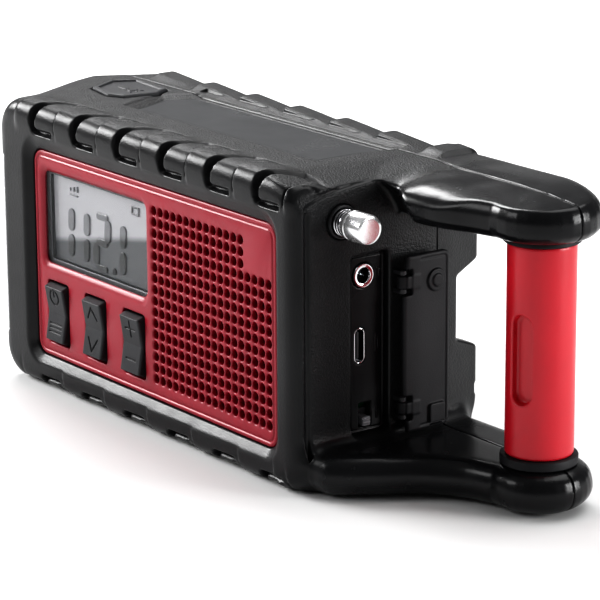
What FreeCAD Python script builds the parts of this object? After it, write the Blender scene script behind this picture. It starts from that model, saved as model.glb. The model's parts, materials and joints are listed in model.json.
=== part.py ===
import FreeCAD, Part
import math
import os

from FreeCAD import Placement, Rotation, Vector

# Emergency radio: a hand-held case with a red face, a carrying grip on its right end,
# a telescopic antenna, a torch, a solar deck and a wind-up dynamo in its back.
#
# Everything below is placed in the face frame, in millimetres: X runs along the face towards
# the grip, Y runs into the case and Z is up, from the lower left corner of the red panel.
# save() moves each piece to the part's own frame, whose origin is under the middle of the case.

# Driving dimensions ---------------------------------------------------------------------------

PANEL_W = 108.9
PANEL_H = 56.2
PANEL_R = 4.0
PANEL_T = 2.0

CASE_X0 = -16.0
CASE_X1 = 118.5
CASE_Z0 = -9.0
CASE_Z1 = 68.0
CASE_R = 9.0
FLARE_X = -22.3
FLARE_Y = 33.3
FRONT_Y = -1.8
FRAME_Y = 11.0
SPLIT_Y = 41.3
SHOULDER_Y = 50.2
BACK_Y = 58.5
SHOULDER_DROP = 11.0

CAVITY_X0 = -10.5
CAVITY_X1 = 116.0
CAVITY_Z0 = -6.5
CAVITY_Z1 = 65.5
FLOOR_Y = 49.4
CAVITY_Y1 = 47.4

ARMOUR_PITCH = 20.05
ARMOUR_X0 = 13.75
ARMOUR_COUNT = 6

HOLE_PITCH_X = 2.87
HOLE_PITCH_Z = 2.93
HOLE_X0 = 56.6
HOLE_Z1 = 49.6
HOLE_R = 1.15
HOLE_COLS = 18
HOLE_ROWS = 16
SHORT_ROWS = 3
SHORT_COLS = 14

ROCKER_X0 = 6.2
ROCKER_PITCH = 18.05
ROCKER_W = 8.9
ROCKER_Z0 = 4.6
ROCKER_Z1 = 20.7
ROCKER_FRONT_Y = -1.7
ROCKER_WAIST_Y = -0.5
ROCKER_PIVOT_Y = 2.6
ROCKER_GAP = 0.55

DISPLAY = (3.5, 52.6, 25.0, 51.2)

SPEAKER_X = 81.0
SPEAKER_Z = 27.6
SPEAKER_R = 22.3

PORT_Y0 = 15.0
PORT_Y1 = 26.4
PORT_Z0 = 3.0
PORT_Z1 = 48.0
PLATE_X = 116.8
JACK_Y = 19.7
JACK_Z = 42.4
USB_Y = 18.8
USB_Z = 25.0
SWITCH_Y = 20.3
SWITCH_Z = 7.45

COVER_HINGE_X = 120.9
COVER_HINGE_Y = 28.6
COVER_X0 = 121.25
COVER_T = 1.5
STRAP_Z = ((6.9, 10.4), (38.4, 42.0))

ANTENNA_Y = 12.3
ANTENNA_Z = 57.0
ANTENNA_X0 = 24.0
SLEEVE_END_X = 121.6
CAP_X0 = 122.0
CAP_X1 = 129.3
CAP_R = 3.65
TUBE_R = (3.3, 2.94, 2.54, 2.14)
TUBE_WALL = 0.3
ROD_R = 1.74

CRANK_X = 82.0
CRANK_Z = 29.5
WELL_R = 27.3
HUB_R = 6.5
CRANK_THROW = 22.0
PIN_Y = 54.0

GEAR_MODULE = 1.0
DRIVE_TEETH = 40
PINION_TEETH = 12
WHEEL_TEETH = 36
DYNAMO_TEETH = 10
MESH_SLACK = 0.15
PINION_DEG = 150.0
DYNAMO_DEG = 200.0

GRIP_X = 156.8
GRIP_Y = 41.3
GRIP_R = 8.2
LOBE_R = 13.8
ARM_T = 11.0
COLLAR_R = 9.3
CORE_R = 5.0
GRIP_Z0 = 4.3
GRIP_Z1 = 55.8

LENS_X0 = -16.8
LENS_X1 = -12.6
LENS_Z0 = 3.0
LENS_Z1 = 52.0
LENS_Y1 = 26.0

DOOR_X0 = -0.7
DOOR_X1 = 42.7
DOOR_Z0 = 3.5
DOOR_Z1 = 56.7
DOOR_T = 2.0

LAMP_KEY_TOP = 68.6
LAMP_KEY = ((-6.0, 22.8), (-11.3, 31.9), (-7.4, 38.9), (8.6, 37.4), (11.1, 32.8), (9.4, 22.9), (4.6, 20.7))
SOLAR = ((22.4, 17.9), (16.0, 32.0), (20.5, 38.6), (102.1, 38.6), (100.7, 32.8), (100.7, 17.9))

SCREW_SPOTS = ((48.5, 52.0), (48.5, 7.0), (110.5, 52.5), (110.5, 6.5))

TIP_X = GRIP_X + LOBE_R
ORIGIN = Vector((FLARE_X + TIP_X) / 2, (BACK_Y + FRONT_Y) / 2, CASE_Z0)


# Helpers --------------------------------------------------------------------------------------


def box(x0, x1, y0, y1, z0, z1):
    return Part.makeBox(x1 - x0, y1 - y0, z1 - z0, Vector(x0, y0, z0))


def rod(radius, start, axis, length):
    return Part.makeCylinder(radius, length, Vector(*start), Vector(*axis))


def rod_x(radius, x0, x1, y, z):
    return rod(radius, (x0, y, z), (1, 0, 0), x1 - x0)


def rod_y(radius, x, y0, y1, z):
    return rod(radius, (x, y0, z), (0, 1, 0), y1 - y0)


def rod_z(radius, x, y, z0, z1):
    return rod(radius, (x, y, z0), (0, 0, 1), z1 - z0)


def fuse(shapes):
    return shapes[0].multiFuse(list(shapes[1:])).removeSplitter()


def prism(points, direction):
    corners = [Vector(*p) for p in points]
    wire = Part.makePolygon(corners + corners[:1])
    return Part.Face(wire).extrude(Vector(*direction))


def prism_xy(points, z0, z1):
    return prism([(x, y, z0) for x, y in points], (0, 0, z1 - z0))


def prism_yz(points, x0, x1):
    return prism([(x0, y, z) for y, z in points], (x1 - x0, 0, 0))


def rounded_wire_xz(x0, x1, z0, z1, radius, y):
    """Closed wire of a rounded rectangle that faces along Y."""
    slant = radius * (1 - math.sqrt(0.5))
    arcs = (
        ((x0, z0 + radius), (x0 + slant, z0 + slant), (x0 + radius, z0)),
        ((x1 - radius, z0), (x1 - slant, z0 + slant), (x1, z0 + radius)),
        ((x1, z1 - radius), (x1 - slant, z1 - slant), (x1 - radius, z1)),
        ((x0 + radius, z1), (x0 + slant, z1 - slant), (x0, z1 - radius)),
    )
    edges = []
    for index, arc in enumerate(arcs):
        start, middle, end = [Vector(px, y, pz) for px, pz in arc]
        edges.append(Part.Arc(start, middle, end).toShape())
        following = arcs[(index + 1) % 4][0]
        edges.append(Part.LineSegment(end, Vector(following[0], y, following[1])).toShape())
    return Part.Wire(edges)


def rounded_xz(x0, x1, z0, z1, radius, y0, y1):
    face = Part.Face(rounded_wire_xz(x0, x1, z0, z1, radius, y0))
    return face.extrude(Vector(0, y1 - y0, 0))


def slot_xz(x0, x1, z0, z1, y0, y1):
    """Round-ended slot that runs along X."""
    radius = (z1 - z0) / 2
    middle = (z0 + z1) / 2
    ends = [rod_y(radius, x, y0, y1, middle) for x in (x0 + radius, x1 - radius)]
    return fuse([box(x0 + radius, x1 - radius, y0, y1, z0, z1)] + ends)


def edges_at(shape, axis, value, tolerance=0.01):
    """Edges that lie in one plane square to a frame axis."""
    found = []
    for edge in shape.Edges:
        bounds = edge.BoundBox
        low = (bounds.XMin, bounds.YMin, bounds.ZMin)[axis]
        high = (bounds.XMax, bounds.YMax, bounds.ZMax)[axis]
        if abs(low - value) < tolerance and abs(high - value) < tolerance:
            found.append(edge)
    return found


def save(name, shape):
    moved = shape.copy()
    moved.translate(ORIGIN * -1)
    moved.exportStep("parts/%s.step" % name)


# Case -----------------------------------------------------------------------------------------


def plan_outline():
    """Case seen from above: square front, left end flaring back to a cut corner, tapered right end."""
    return (
        (CASE_X0, FRONT_Y - 1),
        (CASE_X1, FRONT_Y - 1),
        (CASE_X1, 43.0),
        (CASE_X1 - 5.0, BACK_Y),
        (-8.0, BACK_Y),
        (-12.6, SHOULDER_Y),
        (FLARE_X, FLARE_Y),
        (CASE_X0, 8.0),
    )


def side_outline():
    """Case seen from its end: round front edge, sloping shoulders at the back."""
    return (
        (FRONT_Y - 1, CASE_Z0),
        (SHOULDER_Y, CASE_Z0),
        (BACK_Y, CASE_Z0 + SHOULDER_DROP),
        (BACK_Y, CASE_Z1 - SHOULDER_DROP),
        (SHOULDER_Y, CASE_Z1),
        (FRONT_Y - 1, CASE_Z1),
    )


def case_block():
    """Whole case as one solid: the frame's corners are round, and the left ones fade out behind it."""
    frame = rounded_xz(CASE_X0, CASE_X1, CASE_Z0, CASE_Z1, CASE_R, FRONT_Y, FRAME_Y)
    frame = frame.makeFillet(4.5, edges_at(frame, 1, FRONT_Y))
    rear = box(FLARE_X - 1, CASE_X1, FRAME_Y, BACK_Y, CASE_Z0, CASE_Z1)
    rear = rear.cut([beyond_corner(CASE_Z1, 1), beyond_corner(CASE_Z0, -1)])
    block = fuse([frame, rear])
    block = block.common(prism_xy(plan_outline(), CASE_Z0 - 1, CASE_Z1 + 1))
    return block.common(prism_yz(side_outline(), FLARE_X - 1, CASE_X1 + 1))


def beyond_corner(z, side):
    """Everything outside an oblique cut off a long left edge, which fades out where the flare ends."""
    reach = 60.0
    tool = Part.makeBox(2 * reach, 2 * reach, reach, Vector(-reach, -reach, 0))
    outward = Vector(-1, -0.49, 1.01 * side)
    tool.Placement = Placement(Vector(FLARE_X, FLARE_Y, z), Rotation(Vector(0, 0, 1), outward))
    return tool


def cavity_block(x0, x1, y0, y1):
    """Hollow of the case, widened behind the torch under its key."""
    if y1 < LENS_Y1:
        return rounded_xz(x0, x1, CAVITY_Z0, CAVITY_Z1, 6.5, y0, y1)
    hollow = rounded_xz(x0 - 4.5, x1, CAVITY_Z0, CAVITY_Z1, 6.5, y0, y1)
    left = ((-8.5, y1 + 1), (-14.5, 36.0), (-14.5, 29.0), (x0, LENS_Y1 + 1))
    inset = ((x0, y0), (x1, y0), (x1, y1 + 1)) + left
    return hollow.common(prism_xy(inset, CAVITY_Z0, CAVITY_Z1))


def armour_cuts():
    """Notches between the armour scales, the slots in the front ones and the pockets above them."""
    cuts = []
    half = 1.3
    depth = 1.5
    slope = Vector(0, (BACK_Y - SHOULDER_Y) * 1.1, SHOULDER_DROP * 1.1)
    for index in range(ARMOUR_COUNT):
        x = ARMOUR_X0 + ARMOUR_PITCH * index
        for z, side in ((CASE_Z1, 1), (CASE_Z0, -1)):
            rim = z + side * 0.1
            notch = ((x - half, rim), (x + half, rim), (x, z - side * depth))
            cuts.append(prism([(px, FRONT_Y - 1, pz) for px, pz in notch], (0, 12.0, 0)))
            shoulder = [(px, SHOULDER_Y, pz) for px, pz in notch]
            cuts.append(prism(shoulder, (0, SPLIT_Y - SHOULDER_Y - 1, 0)))
            cuts.append(prism(shoulder, (0, slope.y, -side * slope.z)))
        slot_x0 = x - 10.4
        slot_x1 = slot_x0 + 9.0
        cuts.append(slot_xz(slot_x0, slot_x1, 60.4, 62.2, FRONT_Y - 1, FRONT_Y + 1.2))
        cuts.append(slot_xz(slot_x0, slot_x1, -5.4, -3.6, FRONT_Y - 1, FRONT_Y + 1.2))
        pocket = ((slot_x0 + 2.0, CASE_Z1 + 0.1), (slot_x1, CASE_Z1 + 0.1), (slot_x0 + 3.0, CASE_Z1 - 1.6))
        cuts.append(prism([(px, 1.5, pz) for px, pz in pocket], (0, 7.0, 0)))
    return cuts


def lens_recess():
    return box(FLARE_X - 1, LENS_X1, FRONT_Y - 1, LENS_Y1, LENS_Z0, LENS_Z1)


def reflector_opening():
    return box(LENS_X1 - 0.1, CAVITY_X0 + 0.1, 4.0, 24.0, 8.0, 48.0)


def front_frame(block):
    """Black frame round the red panel."""
    shell = block.common(box(CASE_X0 - 1, CASE_X1 + 1, FRONT_Y - 1, FRAME_Y, CASE_Z0 - 1, CASE_Z1 + 1))
    opening = rounded_xz(0, PANEL_W, 0, PANEL_H, PANEL_R, -0.1, 2.2)
    inner = rounded_wire_xz(0, PANEL_W, 0, PANEL_H, PANEL_R, 0)
    outer = rounded_wire_xz(-2.6, PANEL_W + 2.4, -2.2, PANEL_H + 3.6, 6.0, FRONT_Y)
    bevel = Part.makeLoft([outer, inner], True, True)
    ledge = rounded_xz(1.2, 107.7, 1.2, 55.0, 3.0, 2.1, 4.1)
    cavity = cavity_block(CAVITY_X0, CAVITY_X1, 4.0, FRAME_Y + 1)
    cuts = [opening, bevel, ledge, cavity, antenna_hole(), lens_recess(), reflector_opening()]
    return shell.cut(cuts + armour_cuts())


def antenna_hole():
    return rod_x(4.2, CAVITY_X1 - 1, CASE_X1 + 1, ANTENNA_Y, ANTENNA_Z)


def port_opening():
    return box(CAVITY_X1 - 1, CASE_X1 + 1, PORT_Y0, PORT_Y1, PORT_Z0, PORT_Z1)


def main_case(block):
    """Middle shell with the torch, the sockets, the solar deck and the torch key's hole."""
    shell = block.common(box(FLARE_X - 1, CASE_X1 + 1, FRAME_Y, SPLIT_Y, CASE_Z0 - 1, CASE_Z1 + 1))
    cavity = cavity_block(CAVITY_X0, CAVITY_X1, FRAME_Y - 1, SPLIT_Y + 1)
    deck = prism_xy(SOLAR, 66.2, CASE_Z1 + 1)
    window = box(24.8, 97.8, 20.4, 35.9, CAVITY_Z1 - 1, 66.3)
    key_hole = grown(LAMP_KEY, 0.35, CAVITY_Z1 - 4, CASE_Z1 + 1)
    cuts = [cavity, antenna_hole(), deck, window, key_hole, port_opening(), lens_recess()]
    return shell.cut(cuts + [reflector_opening()] + armour_cuts())


def grown(points, distance, z0, z1):
    """Prism over an outline that is offset outwards, or inwards for a negative distance."""
    corners = [Vector(x, y, z0) for x, y in points]
    wire = Part.makePolygon(corners + corners[:1])
    face = Part.Face(wire).makeOffset2D(distance, 2)
    return face.extrude(Vector(0, 0, z1 - z0))


def rear_case(block):
    """Rear shell with the crank well, its channel, the battery bay and the gear shafts' bores."""
    shell = block.common(box(FLARE_X - 1, CASE_X1 + 1, SPLIT_Y, BACK_Y + 1, CASE_Z0 - 1, CASE_Z1 + 1))
    bay_wall_x = 45.5
    low = rounded_xz(-3.5, bay_wall_x + 8, CAVITY_Z0, CAVITY_Z1, 6.5, SPLIT_Y - 1, 43.4)
    deep = rounded_xz(bay_wall_x, CAVITY_X1 - 2.0, CAVITY_Z0, CAVITY_Z1, 6.5, SPLIT_Y - 1, CAVITY_Y1)
    well = rod_y(WELL_R, CRANK_X, FLOOR_Y, BACK_Y + 1, CRANK_Z)
    channel = prism_yz(((FLOOR_Y, 22.0), (BACK_Y + 1, 17.2), (BACK_Y + 1, 39.6), (FLOOR_Y, 38.0)),
                       CRANK_X, CASE_X1 + 1)
    hub_bore = rod_y(4.08, CRANK_X, CAVITY_Y1 - 1, FLOOR_Y + 1, CRANK_Z)
    bay = box(1.0, 41.0, 45.2, BACK_Y + 1, 5.0, 55.0)
    door_seat = box(DOOR_X0 - 0.3, DOOR_X1 + 0.3, 56.0, BACK_Y + 1, 2.0, DOOR_Z1 + 0.3)
    pin_bore = rod_x(0.6, DOOR_X0 - 2.0, DOOR_X1 + 2.0, BACK_Y - 1, DOOR_Z0)
    cuts = [low, deep, well, channel, hub_bore, bay, door_seat, pin_bore]
    for x, z in SCREW_SPOTS:
        cuts.append(rod_y(3.0, x, 56.0, BACK_Y + 1, z))
        cuts.append(rod_y(1.4, x, 50.0, 56.1, z))
    return shell.cut(cuts + armour_cuts())


def arm_plan(front_points, root_y):
    """Closed plan outline of a handle arm: swept front edge, round end, straight back edge."""
    arc_start = GRIP_X, GRIP_Y - LOBE_R
    arc_end = GRIP_X, GRIP_Y + LOBE_R
    sweep = [Vector(x, y, 0) for x, y in tuple(front_points) + (arc_start,)]
    curve = Part.BSplineCurve()
    curve.interpolate(sweep)
    nose = Part.Arc(Vector(*arc_start), Vector(TIP_X, GRIP_Y), Vector(*arc_end))
    start = Vector(CASE_X1, front_points[0][1])
    edges = [curve.toShape(), nose.toShape()]
    edges.append(Part.LineSegment(Vector(*arc_end), Vector(CASE_X1, root_y)).toShape())
    edges.append(Part.LineSegment(Vector(CASE_X1, root_y), start).toShape())
    return Part.Face(Part.Wire(edges))


def handle_arm(z0, z1, front_points, root_y, outer_z, inner_z):
    face = arm_plan(front_points, root_y)
    face.translate(Vector(0, 0, z0))
    arm = face.extrude(Vector(0, 0, z1 - z0))
    outer = [edge for edge in edges_at(arm, 2, outer_z) if edge.BoundBox.XMax > CASE_X1 + 1]
    arm = arm.makeFillet(4.5, outer)
    inner = [edge for edge in edges_at(arm, 2, inner_z) if edge.BoundBox.XMax > CASE_X1 + 1]
    arm = arm.makeFillet(2.4, inner)
    return arm.cut(rod_z(CORE_R, GRIP_X, GRIP_Y, CASE_Z0 + 5, CASE_Z1 - 5))


def handle_arm_lower():
    sweep = ((CASE_X1, 0.6), (126.0, 1.2), (133.6, 11.0), (139.2, 19.2), (146.3, 25.2))
    return handle_arm(CASE_Z0, CASE_Z0 + ARM_T, sweep, 54.5, CASE_Z0, CASE_Z0 + ARM_T)


def handle_arm_upper():
    sweep = ((CASE_X1, 21.5), (128.0, 21.6), (138.0, 23.0), (147.0, 26.4))
    arm = handle_arm(CASE_Z1 - ARM_T, CASE_Z1, sweep, 54.5, CASE_Z1, CASE_Z1 - ARM_T)
    return arm.cut(Part.makeSphere(19.0, Vector(CASE_X1, 11.0, 51.0)))


def face_panel():
    """Red panel with the display, rocker and speaker openings."""
    panel = rounded_xz(0, PANEL_W, 0, PANEL_H, PANEL_R, 0, PANEL_T)
    x0, x1, z0, z1 = DISPLAY
    cuts = [rounded_xz(x0, x1, z0, z1, 2.5, -1, PANEL_T + 1)]
    for index in range(3):
        left = ROCKER_X0 + ROCKER_PITCH * index
        cuts.append(rounded_xz(left - ROCKER_GAP, left + ROCKER_W + ROCKER_GAP,
                               ROCKER_Z0 - ROCKER_GAP, ROCKER_Z1 + ROCKER_GAP, 0.7, -1, PANEL_T + 1))
    for x, z in grille_spots():
        cuts.append(rod_y(HOLE_R, x, 0.3, PANEL_T + 1, z))
        cuts.append(Part.makeCone(HOLE_R + 0.25, HOLE_R, 0.35, Vector(x, 0, z), Vector(0, 1, 0)))
    return panel.cut(cuts)


def grille_spots():
    """Centres of the speaker holes, with the upper right corner left plain."""
    spots = []
    for row in range(HOLE_ROWS):
        columns = SHORT_COLS if row < SHORT_ROWS else HOLE_COLS
        for column in range(columns):
            spots.append((HOLE_X0 + HOLE_PITCH_X * column, HOLE_Z1 - HOLE_PITCH_Z * row))
    return spots


# Display, rockers and speaker -----------------------------------------------------------------


def display_parts():
    x0, x1, z0, z1 = DISPLAY
    save("display_window", rounded_xz(x0 + 0.1, x1 - 0.1, z0 + 0.1, z1 - 0.1, 2.4, 1.2, 2.6))
    save("lcd_glass", box(5.0, 51.0, 3.0, 5.2, 26.4, 49.8))
    save("lcd_backlight", box(4.4, 51.6, 5.3, 7.6, 25.9, 50.3))


def rocker(index):
    """Rocker key with a hollowed face, a retaining flange and the ridge that it tilts on."""
    left = ROCKER_X0 + ROCKER_PITCH * index
    profile = (
        (4.2, ROCKER_Z0 + 0.6),
        (0.2, ROCKER_Z0),
        (ROCKER_FRONT_Y, ROCKER_Z0 + 0.8),
        (ROCKER_WAIST_Y, (ROCKER_Z0 + ROCKER_Z1) / 2),
        (ROCKER_FRONT_Y, ROCKER_Z1 - 0.8),
        (0.2, ROCKER_Z1),
        (4.2, ROCKER_Z1 - 0.6),
    )
    key = prism_yz(profile, left, left + ROCKER_W)
    flange_x0 = left - 1.1
    flange_x1 = left + ROCKER_W + 1.1
    flange = box(flange_x0, flange_x1, 3.1, 4.2, ROCKER_Z0 - 0.9, ROCKER_Z1 + 0.9)
    ridge = rod_x(0.55, flange_x0, flange_x1, ROCKER_PIVOT_Y, (ROCKER_Z0 + ROCKER_Z1) / 2)
    return fuse([key, flange, ridge])


def key_mat():
    """Rubber mat with a dome under each end of each rocker."""
    solids = [box(2.2, 53.0, 7.0, 8.3, 2.2, 22.0)]
    for index in range(3):
        x = ROCKER_X0 + ROCKER_PITCH * index + ROCKER_W / 2
        for z in (ROCKER_Z0 + 3.0, ROCKER_Z1 - 3.0):
            solids.append(rod_y(2.2, x, 5.2, 7.1, z))
    return fuse(solids)


def speaker_parts():
    save("speaker_cloth", box(54.4, 107.0, 2.1, 2.5, 2.6, 53.0))
    rim = rod_y(SPEAKER_R, SPEAKER_X, 2.9, 4.6, SPEAKER_Z)
    basket = Part.makeCone(SPEAKER_R - 1.5, 13.0, 9.0, Vector(SPEAKER_X, 4.6, SPEAKER_Z), Vector(0, 1, 0))
    hollow = Part.makeCone(SPEAKER_R - 2.9, 11.8, 9.1, Vector(SPEAKER_X, 4.55, SPEAKER_Z), Vector(0, 1, 0))
    mouth = rod_y(SPEAKER_R - 2.9, SPEAKER_X, 2.8, 4.6, SPEAKER_Z)
    save("speaker_frame", fuse([rim, basket]).cut([hollow, mouth]))
    cone = Part.makeCone(SPEAKER_R - 3.4, 6.0, 6.0, Vector(SPEAKER_X, 3.4, SPEAKER_Z), Vector(0, 1, 0))
    inner = Part.makeCone(SPEAKER_R - 4.0, 5.4, 6.0, Vector(SPEAKER_X, 3.3, SPEAKER_Z), Vector(0, 1, 0))
    save("speaker_cone", cone.cut(inner))
    save("speaker_magnet", rod_y(12.5, SPEAKER_X, 13.6, 20.5, SPEAKER_Z))


def board_parts():
    save("main_board", box(-4.0, 56.0, 8.4, 10.0, -5.0, 53.0))
    save("radio_chips", Part.Compound([
        box(4.0, 16.0, 10.0, 11.6, 28.0, 40.0),
        box(22.0, 30.0, 10.0, 11.4, 30.0, 38.0),
        box(36.0, 48.0, 10.0, 13.0, 6.0, 20.0),
    ]))
    save("ferrite_rod", rod_x(4.0, 8.0, 74.0, 30.0, -1.5))


# Right end: sockets, cover and antenna --------------------------------------------------------


def port_parts():
    flange = box(114.4, CAVITY_X1, PORT_Y0 - 1.5, PORT_Y1 + 1.5, PORT_Z0 - 1.5, PORT_Z1 + 1.5)
    plate = fuse([flange, box(CAVITY_X1 - 0.5, PLATE_X, PORT_Y0, PORT_Y1, PORT_Z0, PORT_Z1)])
    jack_hole = rod_x(3.025, 114.0, PLATE_X + 1, JACK_Y, JACK_Z)
    usb_hole = usb_shell_solid(4.47, 1.63, 114.0, PLATE_X + 1)
    switch_hole = box(114.0, PLATE_X + 1, SWITCH_Y - 1.8, SWITCH_Y + 1.8, SWITCH_Z - 3.05, SWITCH_Z + 3.05)
    save("port_plate", plate.cut([jack_hole, usb_hole, switch_hole]))

    barrel = rod_x(3.025, 103.5, PLATE_X + 0.5, JACK_Y, JACK_Z)
    save("headphone_jack", barrel.cut(rod_x(1.77, 104.5, PLATE_X + 1, JACK_Y, JACK_Z)))

    shell = usb_shell_solid(4.47, 1.63, 108.8, PLATE_X).cut(usb_shell_solid(4.17, 1.33, 110.0, PLATE_X + 1))
    tongue = box(109.5, PLATE_X - 0.8, USB_Y - 0.35, USB_Y + 0.35, USB_Z - 3.3, USB_Z + 3.3)
    save("usb_c_socket", fuse([shell, tongue]))

    switch_body = box(102.7, 112.6, SWITCH_Y - 3.2, SWITCH_Y + 3.2, SWITCH_Z - 5.0, SWITCH_Z + 5.0)
    save("port_board", fuse([box(101.2, 102.8, 14.0, 30.0, 0.0, 50.0), switch_body]))
    lever = fuse([
        box(112.95, 113.95, SWITCH_Y - 2.6, SWITCH_Y + 2.6, SWITCH_Z - 4.6, SWITCH_Z + 0.8),
        box(113.9, PLATE_X + 0.9, SWITCH_Y - 1.3, SWITCH_Y + 1.3, SWITCH_Z - 2.7, SWITCH_Z - 0.3),
    ])
    save("charge_switch_lever", lever)


def usb_shell_solid(half_long, half_short, x0, x1):
    """Obround prism of a USB-C shell that stands on end."""
    reach = half_long - half_short
    middle = box(x0, x1, USB_Y - half_short, USB_Y + half_short, USB_Z - reach, USB_Z + reach)
    return fuse([middle] + [rod_x(half_short, x0, x1, USB_Y, USB_Z + side * reach) for side in (-1, 1)])


def cover_parts():
    """Rubber socket cover, its straps, and the lugs and pin that it swings on."""
    bowed = ((28.9, 2.5), (27.8, 13.0), (27.7, 24.3), (27.8, 36.0), (28.9, 46.8))
    outline = bowed + ((41.0, 46.8), (41.9, 45.9), (41.9, 3.4), (41.0, 2.5))
    plate = prism_yz(outline, COVER_X0, COVER_X0 + COVER_T)
    windows = [box(120.0, 125.0, 26.0, 30.4, z0 - 1.4, z1 + 1.4) for z0, z1 in STRAP_Z]
    solids = [plate.cut(windows)]
    cuts = []
    for z0, z1 in STRAP_Z:
        solids.append(box(COVER_X0, COVER_X0 + COVER_T, COVER_HINGE_Y, 32.5, z0 + 0.2, z1 - 0.2))
        solids.append(rod_z(1.45, COVER_HINGE_X, COVER_HINGE_Y, z0 + 0.2, z1 - 0.2))
        cuts.append(rod_z(0.56, COVER_HINGE_X, COVER_HINGE_Y, z0 - 1, z1 + 1))
    outer_x = COVER_X0 + COVER_T
    solids.append(rod_x(2.8, outer_x - 0.1, outer_x + 0.6, 37.5, 39.8))
    solids.append(rod_x(1.6, outer_x - 0.1, outer_x + 1.0, 37.5, 39.8))
    solids.append(box(outer_x - 0.1, outer_x + 0.8, 35.3, 40.1, 3.4, 8.8))
    save("port_cover", fuse(solids).cut(cuts))

    roots = []
    pins = []
    for z0, z1 in STRAP_Z:
        for low, high in ((z0 - 1.0, z0), (z1, z1 + 1.0)):
            lug = fuse([box(CASE_X1, COVER_HINGE_X, 27.6, 29.6, low, high),
                        rod_z(1.0, COVER_HINGE_X, COVER_HINGE_Y, low, high)])
            roots.append(lug.cut(rod_z(0.5, COVER_HINGE_X, COVER_HINGE_Y, low - 1, high + 1)))
        pins.append(rod_z(0.5, COVER_HINGE_X, COVER_HINGE_Y, z0 - 1.0, z1 + 1.0))
    save("cover_hinge_lugs", Part.Compound(roots))
    save("cover_hinge_pins", Part.Compound(pins))


def antenna_parts():
    """Telescopic antenna: a sleeve in the case, three tubes, a rod and the metal cap."""
    bush = rod_x(4.2, 114.5, CASE_X1 + 0.6, ANTENNA_Y, ANTENNA_Z)
    save("antenna_bush", bush.cut(rod_x(TUBE_R[0], 114.0, CASE_X1 + 1, ANTENNA_Y, ANTENNA_Z)))
    sleeve = rod_x(TUBE_R[0], ANTENNA_X0 - 2, SLEEVE_END_X, ANTENNA_Y, ANTENNA_Z)
    grooves = []
    for x in (119.6, 120.5):
        ring = rod_x(TUBE_R[0] + 1, x, x + 0.4, ANTENNA_Y, ANTENNA_Z)
        grooves.append(ring.cut(rod_x(TUBE_R[0] - 0.12, x - 1, x + 1, ANTENNA_Y, ANTENNA_Z)))
    bore = rod_x(TUBE_R[0] - TUBE_WALL, ANTENNA_X0, SLEEVE_END_X + 1, ANTENNA_Y, ANTENNA_Z)
    save("antenna_sleeve", sleeve.cut([bore] + grooves))
    for index, radius in enumerate(TUBE_R[1:]):
        start = ANTENNA_X0 + 1 + index
        tube = rod_x(radius, start, SLEEVE_END_X - 0.2, ANTENNA_Y, ANTENNA_Z)
        hollow = rod_x(radius - TUBE_WALL, start - 1, SLEEVE_END_X + 1, ANTENNA_Y, ANTENNA_Z)
        save("antenna_tube_%d" % (index + 1), tube.cut(hollow))
    core = rod_x(ROD_R, ANTENNA_X0 + 4, CAP_X0 + 1, ANTENNA_Y, ANTENNA_Z)
    cap = rod_x(CAP_R, CAP_X0, CAP_X1, ANTENNA_Y, ANTENNA_Z)
    cap = cap.makeFillet(0.5, edges_at(cap, 0, CAP_X0) + edges_at(cap, 0, CAP_X1))
    save("antenna_tip", fuse([core, cap]))


# Top and left end -----------------------------------------------------------------------------


def top_parts():
    save("solar_window", prism_xy(SOLAR, 66.2, 67.5))
    save("solar_cell", box(25.3, 97.3, 20.9, 35.4, 64.6, 65.9))
    key = fuse([prism_xy(LAMP_KEY, 62.0, LAMP_KEY_TOP), grown(LAMP_KEY, 0.8, 61.5, 62.6)])
    save("torch_key", key)
    switch = box(0.0, 7.0, 25.0, 32.0, 54.9, 59.8)
    save("torch_switch_board", fuse([box(-6.0, 14.0, 20.0, 36.0, 53.4, 55.0), switch]))


def torch_parts():
    """Ribbed torch lens that wraps from the left end to the front, with its lamps behind."""
    front = ((LENS_X1, -1.6), (-14.8, -1.6), (-16.2, -0.4), (LENS_X0, 2.0))
    outline = front + ((LENS_X0, 8.0), (LENS_X0 - 4.4, 25.8), (LENS_X1, 25.8))
    save("torch_lens", prism_xy(outline, LENS_Z0 + 0.1, LENS_Z1 - 0.1))
    tray = box(LENS_X1, -5.0, 4.1, 23.9, 8.1, 47.9)
    bowls = []
    spots = (14.7, 28.0, 41.3)
    for z in spots:
        bowls.append(Part.makeCone(6.2, 2.0, 6.6, Vector(LENS_X1, 14.0, z), Vector(1, 0, 0)))
        bowls.append(rod_x(2.0, -6.5, -4.9, 14.0, z))
    save("torch_reflector", tray.cut(bowls))
    save("torch_board", box(-5.0, -4.1, 12.0, 26.0, 8.1, 47.9))
    save("torch_lamps", Part.Compound([rod_x(1.8, -6.3, -5.0, 14.0, z) for z in spots]))


# Back: crank, gear train, dynamo and battery --------------------------------------------------


def gear(teeth, x, z, y0, y1, bore, turned_deg=0.0):
    """Spur gear whose axis lies along Y, with slim teeth that leave running clearance."""
    pitch_r = GEAR_MODULE * teeth / 2
    root_r = pitch_r - 1.2 * GEAR_MODULE
    tip_r = pitch_r + 0.85 * GEAR_MODULE
    pitch_angle = 2 * math.pi / teeth
    points = []
    for index in range(teeth):
        middle = index * pitch_angle + math.radians(turned_deg)
        for radius, part in ((root_r, -0.30), (tip_r, -0.13), (tip_r, 0.13), (root_r, 0.30)):
            angle = middle + part * pitch_angle
            points.append((x + radius * math.cos(angle), y0, z + radius * math.sin(angle)))
    blank = prism(points, (0, y1 - y0, 0))
    return blank.cut(rod_y(bore, x, y0 - 1, y1 + 1, z))


def polar(distance, degrees):
    angle = math.radians(degrees)
    return distance * math.cos(angle), distance * math.sin(angle)


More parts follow.
